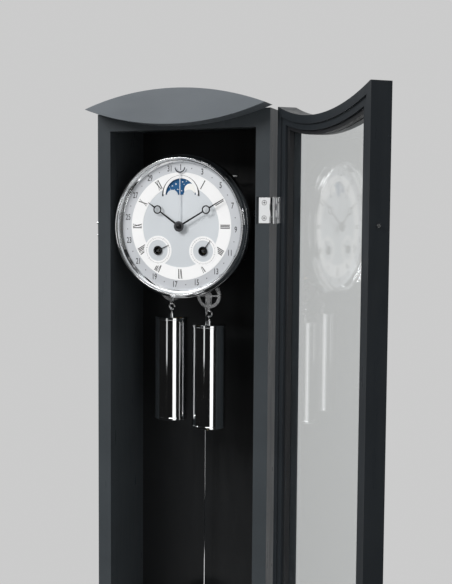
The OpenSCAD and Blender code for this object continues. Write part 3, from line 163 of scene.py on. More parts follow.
def glass(name, colour):
    """Clear glass that lets the light through to what is behind it, with faint smears."""
    m, nodes, links = new_tree(name)
    shader = nodes["Principled BSDF"]
    shader.inputs["Base Color"].default_value = colour + (1,)
    shader.inputs["Transmission Weight"].default_value = 1.0
    shader.inputs["IOR"].default_value = 1.5
    coords = nodes.new("ShaderNodeTexCoord")
    smear = nodes.new("ShaderNodeTexNoise")
    smear.inputs["Scale"].default_value = 7.0
    smear.inputs["Detail"].default_value = 5.0
    links.new(coords.outputs["Object"], smear.inputs["Vector"])
    rough = nodes.new("ShaderNodeMapRange")
    rough.inputs["From Min"].default_value = 0.35
    rough.inputs["From Max"].default_value = 0.75
    rough.inputs["To Max"].default_value = 0.03
    links.new(smear.outputs["Fac"], rough.inputs["Value"])
    links.new(rough.outputs["Result"], shader.inputs["Roughness"])
    path = nodes.new("ShaderNodeLightPath")
    clear = nodes.new("ShaderNodeBsdfTransparent")
    clear.inputs["Color"].default_value = (0.93, 0.95, 0.95, 1)
    both = nodes.new("ShaderNodeMixShader")
    links.new(path.outputs["Is Shadow Ray"], both.inputs["Fac"])
    links.new(shader.outputs["BSDF"], both.inputs[1])
    links.new(clear.outputs["BSDF"], both.inputs[2])
    links.new(both.outputs["Shader"], nodes["Material Output"].inputs["Surface"])
    return m


MATS = {
    "case_wood": surface("case_lacquer", (0.052, 0.060, 0.066), rough=0.34, grain=0.10, grain_scale=420,
                         bump=0.10, stretch=(3, 3, 0.35), edge=(0.12, 0.12, 0.125), smudge=0.22,
                         specular=0.12),
    "door_lacquer": surface("door_lacquer", (0.022, 0.026, 0.030), rough=0.34, grain=0.10, grain_scale=420,
                            bump=0.10, stretch=(3, 3, 0.35), edge=(0.09, 0.09, 0.095), smudge=0.22,
                            specular=0.15),
    # The back panel's near black, far darker than the case's own lacquer: painted shade of the case's inside
    "back_lacquer_painted_shade": surface("back_lacquer_painted_shade", (0.012, 0.013, 0.014), rough=0.46, grain=0.10,
                            grain_scale=420, bump=0.10, stretch=(3, 3, 0.35), specular=0.2),
    "pediment_wood": surface("pediment_lacquer", (0.125, 0.141, 0.156), rough=0.36, tint=0.07, grain=0.08,
                             grain_scale=420, bump=0.08, stretch=(0.35, 3, 3), edge=(0.28, 0.28, 0.29),
                             smudge=0.2, specular=0.35),
    "bead_black": surface("bead_lacquer", (0.014, 0.015, 0.017), rough=0.45, grain=0.10, bump=0.10,
                          edge=(0.07, 0.07, 0.075)),
    "chrome": surface("chrome", (0.80, 0.81, 0.82), metallic=1.0, rough=0.07, tint=0.03, grain=0.02,
                      bump=0.012, edge=(0.93, 0.93, 0.94), edge_r=0.0003, smudge=0.5),
    "satin_chrome": surface("satin_chrome", (0.84, 0.85, 0.86), metallic=1.0, rough=0.24, tint=0.03,
                            grain=0.03, bump=0.02, edge=(0.93, 0.93, 0.94), edge_r=0.0003),
    "steel": surface("steel", (0.50, 0.51, 0.53), metallic=1.0, rough=0.30, tint=0.06, grain=0.10,
                     grain_scale=600, bump=0.12, stretch=(1, 1, 6), edge=(0.72, 0.72, 0.73),
                     edge_r=0.0003),
    "steel_bright": surface("steel_bright", (0.72, 0.73, 0.75), metallic=1.0, rough=0.18, tint=0.04,
                            grain=0.04, bump=0.04, edge=(0.9, 0.9, 0.9), edge_r=0.0002),
    "brass": surface("brass", (0.70, 0.50, 0.20), metallic=1.0, rough=0.26, tint=0.08, grain=0.08,
                     grain_scale=700, bump=0.09, stretch=(6, 1, 1), edge=(0.88, 0.70, 0.36),
                     edge_r=0.0003),
    "dial_silver": surface("dial_silver", (0.685, 0.72, 0.75), metallic=0.25, rough=0.46, tint=0.025,
                           tint_scale=14, grain=0.05, grain_scale=2600, bump=0.07, smudge=0.1),
    "date_silver": surface("date_ring_silver", (0.65, 0.67, 0.70), metallic=0.3, rough=0.40, tint=0.03,
                           tint_scale=14, grain=0.06, grain_scale=2600, bump=0.08, smudge=0.1),
    "dial_white": surface("dial_white", (0.93, 0.93, 0.93), rough=0.44, tint=0.02, tint_scale=14,
                          grain=0.025, grain_scale=2600, bump=0.04, smudge=0.1),
    "hand_black": surface("hand_lacquer", (0.007, 0.007, 0.008), rough=0.30, grain=0.05, bump=0.03,
                          edge=(0.03, 0.03, 0.033), edge_r=0.0002, specular=0.35),
    "hub_grey": surface("hub_lacquer", (0.085, 0.087, 0.092), metallic=0.6, rough=0.30, tint=0.08,
                        grain=0.05, bump=0.05, edge=(0.25, 0.25, 0.26), edge_r=0.0003),
    "ink": surface("ink_black", (0.020, 0.019, 0.020), rough=0.5, tint=0.2, grain=0.1, bump=0.05),
    "ink_grey": surface("ink_grey", (0.050, 0.051, 0.055), rough=0.5, grain=0.1, bump=0.05),
    "moon_blue": surface("moon_enamel", (0.012, 0.10, 0.25), rough=0.34, tint=0.14, tint_scale=30,
                         grain=0.05, bump=0.03, specular=0.3),
    "moon_cream": surface("moon_cream", (0.93, 0.92, 0.88), rough=0.36, tint=0.03, tint_scale=60,
                          grain=0.04, bump=0.03),
    "crescent": surface("crescent_blued", (0.010, 0.013, 0.024), metallic=0.4, rough=0.34, tint=0.2,
                        grain=0.05, bump=0.04),
    "date_steel": surface("date_hand_steel", (0.74, 0.77, 0.80), metallic=0.3, rough=0.4, tint=0.06,
                          grain=0.06, bump=0.05, edge=(0.7, 0.7, 0.71), edge_r=0.0002),
    # Near black for the screw slots' floors and the rings round the screw heads: painted shade
    "painted_slot_shade": surface("painted_slot_shade", (0.022, 0.021, 0.020), rough=0.6, tint=0.2, grain=0.1, bump=0.1),
    "glass": glass("door_glass", (0.965, 0.985, 0.98)),
}

for node, obj in frame["nodes"].items():
    obj.data.materials.clear()
    obj.data.materials.append(MATS[node_slot[node]])

frame["nodes"]["date_hand"].data.materials[0] = MATS["date_steel"]
# The back panel takes the darker lacquer, painted shade of the inside of the case
frame["nodes"]["back_panel"].data.materials[0] = MATS["back_lacquer_painted_shade"]
for node in ("door_pin", "pulley_strap_left", "pulley_strap_right",
             "pulley_wheel_left", "pulley_wheel_right"):
    frame["nodes"][node].data.materials[0] = MATS["satin_chrome"]

# The door's turn from its place in the photograph back to closed
door_joint = next(j for j in record["behaviour"]["joints"] if j["name"] == "door_hinge")
HINGE = Vector(door_joint["pos_m"])
DOOR_BACK_Y = -0.151
TO_CLOSED = (Matrix.Translation(HINGE) @ Matrix.Rotation(math.radians(door_joint["range_deg"][0]), 4, "Z")
             @ Matrix.Translation(-HINGE))


def repaint(node, mat, test):
    """Gives a second material to the faces of a CAD node whose corners all pass the test."""
    mesh = frame["nodes"][node].data
    mesh.materials.append(MATS[mat])
    for face in mesh.polygons:
        if all(test(mesh.vertices[v].co) for v in face.vertices):
            face.material_index = 1


# The winding arbors and their squares are steel, within the brass drums' solids
ARBOR_R = 3.05
for node, x in (("drum_left", -SQUARE), ("drum_right", SQUARE)):
    repaint(node, "steel_bright",
            lambda co, x=x: math.hypot(co.x - x * MM, co.z - DIAL_Z + SQUARE * MM) < ARBOR_R * MM)

# The floors of the hinges' screw slots are painted near black, as painted shade in the slots
SLOT_FLOOR, NEAR = 0.9 * MM, 0.05 * MM
HINGE_SIDE_X = 0.13
repaint("case_screws", "painted_slot_shade",
        lambda co: co.x > HINGE_SIDE_X and abs(co.y - DIAL_Y - SLOT_FLOOR) < NEAR)
repaint("hinge_door_screws", "painted_slot_shade",
        lambda co: abs((TO_CLOSED @ co).y - DOOR_BACK_Y + SLOT_FLOOR) < NEAR)


# Helpers

def add(name, mesh, body, slot, mat=None, smooth=None):
    """A new piece in the row frame that rides on a body and takes one of the record's slots.
    Its material is the slot's own unless mat names another."""
    obj = bpy.data.objects.new(name, mesh)
    bpy.context.scene.collection.objects.link(obj)
    mesh.materials.clear()
    mesh.materials.append(MATS[mat or slot])
    if smooth is not None:
        mesh.shade_smooth()
        mesh.set_sharp_from_angle(angle=math.radians(smooth))
    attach(obj, body)
    return obj


def mesh_of(name, verts, faces):
    """A mesh whose faces all look outwards."""
    mesh = bpy.data.meshes.new(name)
    mesh.from_pydata(verts, [], faces)
    mesh.validate()
    bm = bmesh.new()
    bm.from_mesh(mesh)
    bmesh.ops.recalc_face_normals(bm, faces=bm.faces)
    bm.to_mesh(mesh)
    bm.free()
    return mesh


def dial(x, depth, z):
    """A point given in mm about the dial centre, by its depth behind the dial face."""
    return (x * MM, DIAL_Y + depth * MM, DIAL_Z + z * MM)


def cleaned(mesh, weld=2e-6, place=None):
    """Welds the mesh, joins its flat triangles into faces and drops its stored normals.
    Where a matrix is given as place, it moves the mesh by that first."""
    bm = bmesh.new()
    bm.from_mesh(mesh)
    if place is not None:
        bmesh.ops.transform(bm, matrix=place, verts=bm.verts)
        for v in bm.verts:
            v.co = Vector([round(c, 6) for c in v.co])
    bmesh.ops.remove_doubles(bm, verts=bm.verts, dist=weld)
    bmesh.ops.dissolve_limit(bm, angle_limit=math.radians(0.6), verts=bm.verts, edges=bm.edges)
    bm.to_mesh(mesh)
    bm.free()
    if mesh.has_custom_normals:
        mesh.attributes.remove(mesh.attributes["custom_normal"])
    return mesh


def rounded(obj, width):
    """Rounds a piece's sharp edges; width is in mm."""
    mod = obj.modifiers.new("edges", "BEVEL")
    mod.width = width * MM
    mod.segments = 2
    mod.limit_method = "ANGLE"
    mod.angle_limit = math.radians(40)
    mod.harden_normals = True


def softened(node, width):
    """The CAD node's own shape with its sharp edges rounded."""
    mesh = cleaned(frame["nodes"][node].data.copy())
    obj = add(node + "_soft", mesh, node_body[node], node_slot[node], smooth=32)
    rounded(obj, width)
    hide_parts(node)


def united(name, names, width, place=None, mat=None):
    """Boards as one skin without open joints, with rounded edges; place squares them to the axes first."""
    place = place or Matrix.Identity(4)
    collection = bpy.context.scene.collection
    objs = []
    for n in names:
        obj = bpy.data.objects.new(name + "_part", cleaned(frame["nodes"][n].data.copy(), place=place))
        collection.objects.link(obj)
        objs.append(obj)
    for tool in objs[1:]:
        mod = objs[0].modifiers.new("join", "BOOLEAN")
        mod.operation = "UNION"
        mod.solver = "EXACT"
        mod.object = tool
    bpy.context.view_layer.update()
    mesh = bpy.data.meshes.new_from_object(objs[0].evaluated_get(bpy.context.evaluated_depsgraph_get()))
    for obj in objs:
        part = obj.data
        bpy.data.objects.remove(obj)
        bpy.data.meshes.remove(part)
    cleaned(mesh, weld=1e-5)
    mesh.transform(place.inverted())
    mesh.name = name
    skin = add(name, mesh, node_body[names[0]], node_slot[names[0]], mat, smooth=32)
    rounded(skin, width)
    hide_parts(*names)


def plates(name, outlines, front, back, body, slot, mat=None):
    """Flat pieces from outlines in the dial's plane, all in one mesh, between two depths."""
    verts, faces = [], []
    for line in outlines:
        start, n = len(verts), len(line)
        verts += [dial(x, front, z) for x, z in line] + [dial(x, back, z) for x, z in line]
        faces.append(list(range(start, start + n)))
        faces.append(list(range(start + 2 * n - 1, start + n - 1, -1)))
        for i in range(n):
            j = (i + 1) % n
            faces.append([start + i, start + n + i, start + n + j, start + j])
    add(name, mesh_of(name, verts, faces), body, slot, mat)


def circle(cx, cz, r, n):
    return [(cx + r * math.cos(math.radians(360 * i / n)),
             cz + r * math.sin(math.radians(360 * i / n))) for i in range(n)]


def band(cx, cz, r_in, r_out, a0, a1, n):
    """Outline of a stretch of ring; the radii may be functions of the share of the way along it."""
    def point(radius, share):
        r = radius(share) if callable(radius) else radius
        a = math.radians(a0 + (a1 - a0) * share)
        return (cx + r * math.cos(a), cz + r * math.sin(a))

    outer = [point(r_out, i / n) for i in range(n + 1)]
    inner = [point(r_in, i / n) for i in range(n, -1, -1)]
    return outer + inner


def lathe(name, profile, steps, at, body, slot, node=None, wave=None, mat=None, smooth=35):
    """A closed outline of (radius, distance) in mm, turned about the Y axis through a row-frame point.
    wave(radius, distance, step) may move the radius, for fluting, and node is the CAD node it replaces."""
    verts, faces = [], []
    for i in range(steps):
        a = 2 * math.pi * i / steps
        for r, d in profile:
            r2 = r + (wave(r, d, i) if wave else 0.0)
            p = (r2 * math.cos(a), d, r2 * math.sin(a))
            verts.append(tuple(at[k] + p[k] * MM for k in range(3)))
    n = len(profile)
    for i in range(steps):
        j = (i + 1) % steps
        for k in range(n):
            m = (k + 1) % n
            faces.append([i * n + k, i * n + m, j * n + m, j * n + k])
    mesh = mesh_of(name, verts, faces)
    bm = bmesh.new()
    bm.from_mesh(mesh)
    bmesh.ops.remove_doubles(bm, verts=bm.verts, dist=1e-7)
    bmesh.ops.recalc_face_normals(bm, faces=bm.faces)
    bm.to_mesh(mesh)
    bm.free()
    obj = add(name, mesh, body, slot, mat, smooth=smooth)
    if node:
        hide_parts(node)


# Case, door and their hardware

CASE_BOARDS = ("face_stile_left", "face_stile_right", "face_rails", "side_left", "side_right", "end_boards")
DOOR_BOARDS = ("door_stile_hinge", "door_stile_free", "door_rail_top", "door_rail_bottom")
united("case_skin", CASE_BOARDS, 0.8)
united("door_skin", DOOR_BOARDS, 0.8, place=TO_CLOSED, mat="door_lacquer")
softened("pediment", 0.5)
softened("glass_beads", 0.5)
for node in ("hinge_case_leaves", "hinge_door_leaves", "hanger_plate", "latch_hook"):
    softened(node, 0.3)

# A dark line round the head of each screw in the hinges' case leaves, painted shade of the gap about the
# head, with its places in metres
SCREW_X, HALF_PITCH, HALF_LEAF = 0.14145, 0.012, 0.020
SCREW_RING = [(3.3, 0.01), (3.3, -0.03), (4.0, -0.03), (4.0, 0.01)]
leaves_low, leaves_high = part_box("hinge_case_leaves")
for label, z in (("upper", leaves_high[2] - HALF_LEAF), ("lower", leaves_low[2] + HALF_LEAF)):
    for end, step in (("top", HALF_PITCH), ("foot", -HALF_PITCH)):
        lathe("screw_ring_" + label + "_" + end, SCREW_RING, 48, (SCREW_X, DIAL_Y, z + step),
              "case", "chrome", mat="painted_slot_shade")

# Bezel

BEZEL = [
    (102.6, 0.0), (102.6, -1.4), (102.9, -2.0), (103.4, -2.6), (105.6, -6.4), (106.0, -6.9), (106.3, -7.0),
    (106.8, -7.1), (107.0, -7.6), (107.2, -9.2), (107.7, -10.8), (108.4, -12.0), (108.9, -12.5),
    (109.1, -13.1), (109.6, -13.7), (110.2, -14.0), (110.8, -13.8), (111.2, -13.2), (111.3, -12.6),
    (111.36, -12.48), (111.39, -12.4), (111.5, -12.2), (112.6, -10.8), (113.6, -9.0), (114.4, -7.0),
    (115.0, -5.0), (115.35, -3.4), (115.4, -3.25), (115.42, -3.18), (115.5, -2.9), (115.9, -2.6),
    (116.15, -2.0), (116.15, 16.6), (115.6, 17.8), (113.5, 18.0), (113.5, 0.0)
]
FLUTES, PER_FLUTE, FLUTE_DEPTH, FLUTE_LEAN = 260, 4, 0.18, 1.1
FLANK_R, FLANK_TOP, FLANK_FOOT = 111.4, -12.3, -3.3


def fluting(r, d, i):
    """Slanted fluting on the bezel's sloping flank, between its two plain edges."""
    if r < FLANK_R or d < FLANK_TOP or d > FLANK_FOOT:
        return 0.0
    return -FLUTE_DEPTH * (1 - math.cos(2 * math.pi * (i + d * FLUTE_LEAN) / PER_FLUTE))


lathe("bezel_turned", BEZEL, FLUTES * PER_FLUTE, dial(0, 0, 0), "case", "chrome", "bezel",
      wave=fluting, smooth=40)

# The date ring and the dial's printing

DATE_RING_IN, DATE_RING_OUT, DATE_RING_T = 87.45, 102.55, 0.12
lathe("date_ring", [(DATE_RING_IN, 0.0), (DATE_RING_IN, -DATE_RING_T), (DATE_RING_OUT, -DATE_RING_T),
                    (DATE_RING_OUT, 0.0)], 180, dial(0, 0, 0), "case", "dial_silver", mat="date_silver")

# The hour numerals: widths of strokes and letters, how far a letter's strokes lean out, as shares of
# its width, and how near a stroke may come to the middle of a small dial and of the moon window
THICK, THIN, SERIF, HALF_FOOT = 1.45, 0.7, 0.5, 1.1
ADVANCE = {"I": 2.4, "V": 5.2, "X": 5.4}
THICK_LEAN, THIN_LEAN, FOOT_LEAN, V_STEP = 0.32, 0.34, 0.33, 0.3
NUMERAL_LOW, NUMERAL_H = 69.2, 15.4
DIAL_CLEAR, WINDOW_CLEAR = 24.5, 32.3


def stroke(u0, v0, u1, v1, w):
    """A straight stroke of width w from one point to another."""
    return [(u0 - w / 2, v0), (u0 + w / 2, v0), (u1 + w / 2, v1), (u1 - w / 2, v1)]


def numeral_strokes(text):
    """Strokes of a Roman numeral, centred on u = 0, standing from v = 0 to its height."""
    total = sum(ADVANCE[c] for c in text)
    u, out, h = -total / 2, [], NUMERAL_H
    for c in text:
        w = ADVANCE[c]
        m = u + w / 2
        if c == "I":
            out.append(stroke(m, 0, m, h, THICK))
            feet = [(m, 0), (m, h)]
        elif c == "V":
            out.append(stroke(m, 0, m - w * THICK_LEAN, h, THICK))
            out.append(stroke(m + V_STEP, 0, m + w * THIN_LEAN, h, THIN))
            feet = [(m - w * THICK_LEAN, h), (m + w * THIN_LEAN, h)]
        else:
            out.append(stroke(m + w * THICK_LEAN, 0, m - w * THICK_LEAN, h, THICK))
            out.append(stroke(m - w * THIN_LEAN, 0, m + w * THIN_LEAN, h, THIN))
            feet = [(m + side * w * FOOT_LEAN, v) for v in (0, h) for side in (-1, 1)]
        for fu, fv in feet:
            low = fv if fv == 0 else fv - SERIF
            out.append([(fu - HALF_FOOT, low), (fu + HALF_FOOT, low), (fu + HALF_FOOT, low + SERIF),
                        (fu - HALF_FOOT, low + SERIF)])
        u += w
    return out


outlines = []
for hour, text in enumerate(("I", "II", "III", "IIII", "V", "VI", "VII", "VIII", "IX", "X", "XI"), start=1):
    t = math.radians(30 * hour)
    for line in numeral_strokes(text):
        outlines.append([(u * math.cos(t) + (v + NUMERAL_LOW) * math.sin(t),
                          -u * math.sin(t) + (v + NUMERAL_LOW) * math.cos(t)) for u, v in line])


def clipped(line):
    """The stroke, shortened from its inner end until it clears the small dials and the moon window."""
    for share in range(0, 20):
        s = share / 20
        cut = [tuple(a + (b - a) * s for a, b in zip(line[0], line[3])),
               tuple(a + (b - a) * s for a, b in zip(line[1], line[2])), line[2], line[3]]
        near = min(math.hypot(p[0] - k * SQUARE, p[1] + SQUARE) for p in cut for k in (-1, 1))
        arch = min(math.hypot(p[0], p[1] - MOON_UP) for p in cut)
        if near > DIAL_CLEAR and arch > WINDOW_CLEAR:
            return cut
    return None


outlines = [c for c in (clipped(line) for line in outlines) if c]
plates("hour_numerals", outlines, -RING_T - INK_T, -RING_T + SUNK, "case", "dial_white", "ink")

# Date numbers, all upright, with a dot between each and the next
DATE_R, DAY_TURN = 94.9, 360 / 31
DIGIT_SIZE, DIGIT_NARROW, DIGIT_BOLD = 13.4, 0.68, 0.2
DIGIT_RISE, DIGIT_HALF_T = 0.03, 0.035
parts = bmesh.new()
for k in range(16):
    number = 2 * k + 1
    t = math.radians(2 * k * DAY_TURN)
    curve = bpy.data.curves.new("digits", "FONT")
    curve.body = str(number)
    curve.size = DIGIT_SIZE
    curve.align_x = "CENTER"
    curve.align_y = "CENTER"
    curve.extrude = DIGIT_HALF_T
    curve.offset = DIGIT_BOLD
    curve.resolution_u = 3
    thing = bpy.data.objects.new("digits", curve)
    bpy.context.scene.collection.objects.link(thing)
    bpy.context.view_layer.update()
    flat = bpy.data.meshes.new_from_object(thing.evaluated_get(bpy.context.evaluated_depsgraph_get()))
    x, z = DATE_R * math.sin(t), DATE_R * math.cos(t)
    place = (Matrix.Translation(dial(x, -DATE_RING_T - DIGIT_RISE, z)) @ Matrix.Scale(MM, 4)
             @ Matrix.Rotation(math.radians(90), 4, "X") @ Matrix.Diagonal((DIGIT_NARROW, 1, 1, 1)))
    flat.transform(place)
    parts.from_mesh(flat)
    bpy.data.objects.remove(thing)
    bpy.data.meshes.remove(flat)
    bpy.data.curves.remove(curve)
digits = bpy.data.meshes.new("date_numbers")
parts.to_mesh(digits)
parts.free()
add("date_numbers", digits, "case", "dial_silver", "ink_grey")
DOT_R = 0.85
dots = []
for k in range(15):
    t = math.radians((2 * k + 1) * DAY_TURN)
    dots.append(circle(DATE_R * math.sin(t), DATE_R * math.cos(t), DOT_R, 14))
plates("date_dots", dots, -DATE_RING_T - INK_T, -DATE_RING_T + SUNK, "case", "dial_silver", "ink_grey")

# The moon window's white border and the thin arc over it
BORDER_IN, BORDER_OUT, BORDER_DROP = 26.6, 30.9, 0.03
ARC_R, ARC_HALF_MIN, ARC_HALF_MORE = 31.4, 0.18, 1.2
border = band(0, MOON_UP, BORDER_IN, BORDER_OUT, 1.5, 178.5, 60)
plates("moon_border", [border], -RING_T + BORDER_DROP, 0.0, "case", "dial_white")


def arc_side(sign):
    """One side of the arc, as its radius along the way: the arc widens towards both its ends."""
    return lambda share: ARC_R + sign * (ARC_HALF_MIN + ARC_HALF_MORE * abs(2 * share - 1) ** 2.5)


arc = band(0, MOON_UP, arc_side(-1), arc_side(1), -4, 184, 72)
plates("moon_arc", [arc], -RING_T - INK_T, 0.0, "case", "dial_white", "ink")

# The disc behind it, in mm behind the dial's face, with two moons and stars
MOON_FACE, MOON_T = 2.5, 0.08
MOON_X, MOON_Z, MOON_R = 15.5, 7.8, 10.2
for name, sign in (("moon_face", 1), ("moon_face_far", -1)):
    face = circle(sign * MOON_X, MOON_UP + sign * MOON_Z, MOON_R, 64)
    plates(name, [face], MOON_FACE - MOON_T, MOON_FACE + SUNK, "moon", "moon_blue", "moon_cream")
STARS = [
    (-15.5, 14.5, 1.35), (-9.2, 17.5, 1.65), (-2.8, 13.2, 1.05), (2.4, 20.8, 1.5), (-6.0, 8.8, 1.35),
    (-12.0, 8.0, 1.05), (5.0, 17.0, 1.05), (-18.5, 9.2, 0.9), (-2.0, 22.6, 1.05), (9.0, 22.0, 1.05),
    (0.8, 6.5, 1.35), (-20.6, 13.0, 0.9)
]


def star(cx, cz, r):
    """Outline of a star with five points, one of them upwards."""
    line = []
    for i in range(10):
        reach = r if i % 2 == 0 else r * 0.45
        a = math.radians(36 * i + 90)
        line.append((cx + reach * math.cos(a), cz + reach * math.sin(a)))
    return line


sky = [star(x, MOON_UP + z, r) for x, z, r in STARS] + [star(-x, MOON_UP - z, r) for x, z, r in STARS]
plates("moon_stars", sky, MOON_FACE - THIN_INK_T, MOON_FACE + SUNK, "moon", "moon_blue", "dial_white")

# Marks of the small dials: seven days on the left, twelve months on the right, with radii in mm and
# the ticks' half width and the space beside them in degrees
TRACK_IN, TRACK_OUT = 20.35, 20.65
TICK_IN, TICK_OUT, TICK_HALF, TICK_SPACE = 19.2, 21.8, 0.7, 5
for name, cx, count in (("day_marks", -SQUARE, 7), ("month_marks", SQUARE, 12)):
    marks = []
    for i in range(count):
        mid = 90 - 360 * i / count
        half = 180 / count
        start, end = mid - half, mid + half
        marks.append(band(cx, -SQUARE, TRACK_IN, TRACK_OUT, start + TICK_SPACE, end - TICK_SPACE, 8))
        marks.append(band(cx, -SQUARE, TICK_IN, TICK_OUT, start - TICK_HALF, start + TICK_HALF, 1))
    plates(name, marks, -RING_T - THIN_INK_T, -RING_T + SUNK, "case", "dial_white", "ink_grey")

# Hands

for node in ("minute_hand", "hour_hand"):
    softened(node, 0.12)
HAND_T = 0.8
DATE_GAP, HOUR_GAP, MINUTE_GAP = 2.4, 1.2, 1.4
date_front = -(RING_T + DATE_GAP) - HAND_T
minute_front = -(RING_T + DATE_GAP + HAND_T + HOUR_GAP + HAND_T + MINUTE_GAP) - HAND_T
hub = [(4.7, 0.02), (4.7, -0.10), (5.0, -0.16), (7.9, -0.16), (8.2, -0.10), (8.2, 0.02)]
lathe("minute_hub_disc", hub, 64, dial(0, minute_front, 0), "minute", "hand_black", mat="hub_grey")
CRESCENT_UP, CRESCENT_R, CRESCENT_STEPS = 95.0, 8.9, 40
horn = []
for i in range(CRESCENT_STEPS + 1):
    a = math.radians(180 + 180 * i / CRESCENT_STEPS)
    horn.append((CRESCENT_R * math.cos(a), CRESCENT_UP + CRESCENT_R * math.sin(a)))
inner_r, lift = CRESCENT_R - 1.0, 1.0
for i in range(CRESCENT_STEPS + 1):
    a = math.radians(360 - 180 * i / CRESCENT_STEPS)
    x, z = inner_r * math.cos(a), lift + inner_r * math.sin(a)
    if z <= 0:
        horn.append((x, CRESCENT_UP + z))
plates("date_crescent", [horn], date_front - THIN_INK_T, date_front + SUNK, "date", "chrome", "crescent")

# Cables, in mm: turns and pitch on the drum, radii of the cable's middle round drum and pulley, the
# anchor's and the stretching part's top ends from the dial's middle, its low end above the pulley's axis
TURNS, PITCH, WRAP_R, LOOP_R = 5, 1.7, 11.9, 17.7
ANCHOR_Z, STRETCH_TOP, STRETCH_LOW = -71.5, -77.5, 0.5
ROPE_R, STRANDS, LAY = 0.6, 5, 5.5
WRAP_STEPS, DOWN_STEPS, BEND_STEPS, UP_STEPS = 36, 60, 24, 30


def cable_points(side, down):
    """The route of one cable: wound on its drum, down, round the pulley and up to the anchor."""
    pulley_x = SQUARE + WRAP_R - LOOP_R
    out = []
    for i in range(TURNS * WRAP_STEPS + 1):
        a = 2 * math.pi * (i / WRAP_STEPS - TURNS)
        out.append((SQUARE + WRAP_R * math.cos(a), ROPE_DEPTH + (TURNS - i / WRAP_STEPS) * PITCH,
                    -SQUARE - WRAP_R * math.sin(a)))
    for i in range(1, DOWN_STEPS):
        out.append((pulley_x + LOOP_R, ROPE_DEPTH, -SQUARE + (SQUARE - down) * i / DOWN_STEPS))
    for i in range(BEND_STEPS + 1):
        a = -math.pi * i / BEND_STEPS
        out.append((pulley_x + LOOP_R * math.cos(a), ROPE_DEPTH, -down + LOOP_R * math.sin(a)))
    for i in range(1, UP_STEPS + 1):
        out.append((pulley_x - LOOP_R, ROPE_DEPTH, -down + (ANCHOR_Z + down) * i / UP_STEPS))
    return [Vector(dial(side * x, d, z)) for x, d, z in out]


def stranded(name, points, r, strands, lay):
    """A steel rope: one core and round strands twisted about it, each a tube along the route."""
    verts, faces = [], []
    lengths = [0.0]
    for a, b in zip(points, points[1:]):
        lengths.append(lengths[-1] + (b - a).length)
    frames = []
    for i, p in enumerate(points):
        t = (points[min(i + 1, len(points) - 1)] - points[max(i - 1, 0)]).normalized()
        u = t.cross(Vector((0, 1, 0))).normalized()
        frames.append((p, u, t.cross(u)))
    core_r, strand_r = r * 0.5, r * 0.36
    tubes = [(0.0, core_r, 0)] + [(r - strand_r, strand_r, k) for k in range(strands)]
    sides = 5
    for offset, tube_r, k in tubes:
        first = len(verts)
        for (p, u, v), s in zip(frames, lengths):
            turn = 2 * math.pi * (s / lay + k / strands)
            c = p + offset * (u * math.cos(turn) + v * math.sin(turn))
            for q in range(sides):
                w = 2 * math.pi * q / sides
                verts.append(tuple(c + tube_r * (u * math.cos(w) + v * math.sin(w))))
        n = len(points)
        for i in range(n - 1):
            for q in range(sides):
                q2 = (q + 1) % sides
                faces.append([first + i * sides + q, first + i * sides + q2,
                              first + (i + 1) * sides + q2, first + (i + 1) * sides + q])
        faces.append([first + q for q in range(sides)])
        faces.append([first + (n - 1) * sides + q for q in range(sides - 1, -1, -1)])
    return mesh_of(name, verts, faces)


for side, label, down in ((-1, "left", 105.0), (1, "right", 115.0)):
    mesh = stranded("cable_rope_" + label, cable_points(side, down), ROPE_R * MM, STRANDS, LAY * MM)
    rope = bpy.data.objects.new("cable_rope_" + label, mesh)
    bpy.context.scene.collection.objects.link(rope)
    mesh.materials.append(MATS["steel"])
    mesh.shade_smooth()
    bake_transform(rope)
    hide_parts("cable_" + label)

# Floor, lights and camera

FLOOR_X, FLOOR_Y, FLOOR_Z, FLOOR_R, FLOOR_T, SIDES = 0.05, -0.15, -1.02, 0.75, 0.02, 96
rim = circle(FLOOR_X, FLOOR_Y, FLOOR_R, SIDES)
floor_mesh = mesh_of("floor", [(x, y, z) for z in (FLOOR_Z, FLOOR_Z - FLOOR_T) for x, y in rim],
                     [list(range(SIDES)), list(range(2 * SIDES - 1, SIDES - 1, -1))]
                     + [[i, SIDES + i, SIDES + (i + 1) % SIDES, (i + 1) % SIDES] for i in range(SIDES)])
floor = bpy.data.objects.new("floor", floor_mesh)
bpy.context.scene.collection.objects.link(floor)
floor_mesh.materials.append(surface("floor_paint", (0.80, 0.80, 0.80), rough=0.7, tint=0.015, tint_scale=1.5,
                                    grain=0.01, bump=0.01))

# Greys of the background and of the room in front, and the soft light's strength
PALE, ROOM, SOFT = 0.60, 0.008, 0.32


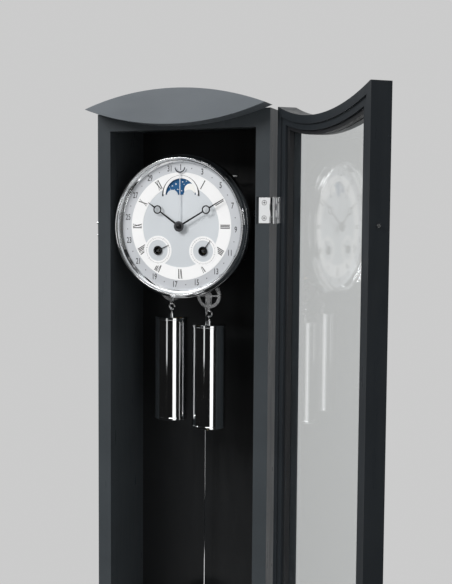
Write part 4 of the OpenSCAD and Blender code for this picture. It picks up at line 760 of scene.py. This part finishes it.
def studio_world():
    """Plain soft light and a pale background; metal shows that background, and a dark room in front."""
    world = bpy.data.worlds.new("studio")
    bpy.context.scene.world = world
    world.use_nodes = True
    nodes, links = world.node_tree.nodes, world.node_tree.links
    nodes.clear()

    def background(grey, strength):
        n = nodes.new("ShaderNodeBackground")
        n.inputs["Color"].default_value = (grey, grey, grey, 1)
        n.inputs["Strength"].default_value = strength
        return n

    def mixed(fac, a, b):
        n = nodes.new("ShaderNodeMixShader")
        links.new(fac, n.inputs["Fac"])
        links.new(a, n.inputs[1])
        links.new(b, n.inputs[2])
        return n.outputs["Shader"]

    def joined(operation, a, b):
        n = nodes.new("ShaderNodeMath")
        n.operation = operation
        links.new(a, n.inputs[0])
        links.new(b, n.inputs[1])
        return n.outputs["Value"]

    path = nodes.new("ShaderNodeLightPath")

    def none_of(depth):
        n = nodes.new("ShaderNodeMath")
        n.operation = "LESS_THAN"
        n.inputs[1].default_value = 0.5
        links.new(path.outputs[depth], n.inputs[0])
        return n.outputs["Value"]

    # Light that falls on something through the glass is the soft light, not the pale background
    clear = joined("MULTIPLY", path.outputs["Is Transmission Ray"], none_of("Diffuse Depth"))
    through = joined("MULTIPLY", clear, none_of("Glossy Depth"))
    seen = joined("MAXIMUM", path.outputs["Is Camera Ray"], through)
    glossy = joined("MAXIMUM", path.outputs["Is Glossy Ray"], clear)
    soft = background(1.0, SOFT)
    pale = background(PALE, 1.0)
    room = background(ROOM, 1.0)
    coords = nodes.new("ShaderNodeTexCoord")
    split = nodes.new("ShaderNodeSeparateXYZ")
    links.new(coords.outputs["Generated"], split.inputs["Vector"])
    ahead = nodes.new("ShaderNodeMapRange")
    ahead.inputs["From Min"].default_value = -0.15
    ahead.inputs["From Max"].default_value = 0.10
    links.new(split.outputs["Y"], ahead.inputs["Value"])
    mirrored = mixed(ahead.outputs["Result"], room.outputs["Background"], pale.outputs["Background"])
    lit = mixed(glossy, soft.outputs["Background"], mirrored)
    out = nodes.new("ShaderNodeOutputWorld")
    links.new(mixed(seen, lit, pale.outputs["Background"]), out.inputs["Surface"])


studio_world()


def area(name, at, to, size_x, size_y, power):
    """A rectangular lamp at one point that faces another."""
    light = bpy.data.lights.new(name, "AREA")
    light.shape = "RECTANGLE"
    light.size = size_x
    light.size_y = size_y
    light.energy = power
    obj = bpy.data.objects.new(name, light)
    bpy.context.scene.collection.objects.link(obj)
    obj.location = at
    obj.rotation_euler = (Vector(to) - Vector(at)).to_track_quat("-Z", "Y").to_euler()


area("key", (-1.30, -2.30, 1.40), (0.05, -0.15, -0.30), 1.4, 1.4, 62)
area("side", (1.48, -1.86, -0.35), (0, -0.12, -0.35), 0.9, 1.9, 7.7)
area("strip", (-0.48, -2.26, -0.10), (0.14, -0.15, -0.10), 0.3, 1.2, 1.0)
area("top", (0.3, -0.6, 2.0), (0, -0.15, 0), 1.2, 1.0, 18)

# The camera's place in metres and its angles in degrees, fitted to the photograph
CAMERA_AT = (0.57838, -1.54274, -0.11779)
CAMERA_TURN, CAMERA_DOWN, CAMERA_ROLL = 21.82, 3.89, 0.27
camera = bpy.data.cameras.new("camera")
camera.sensor_fit = "VERTICAL"
camera.sensor_height = 36.0
camera.lens = 57.27
camera.shift_x = 0.0580
camera.shift_y = -0.0170
camera.clip_start = 0.02
view = bpy.data.objects.new("camera", camera)
bpy.context.scene.collection.objects.link(view)
view.matrix_world = (Matrix.Translation(CAMERA_AT)
                     @ Matrix.Rotation(math.radians(CAMERA_TURN), 4, "Z")
                     @ Matrix.Rotation(math.radians(90 - CAMERA_DOWN), 4, "X")
                     @ Matrix.Rotation(math.radians(CAMERA_ROLL), 4, "Z"))
bpy.context.scene.camera = view
bpy.context.scene.view_settings.view_transform = "Standard"
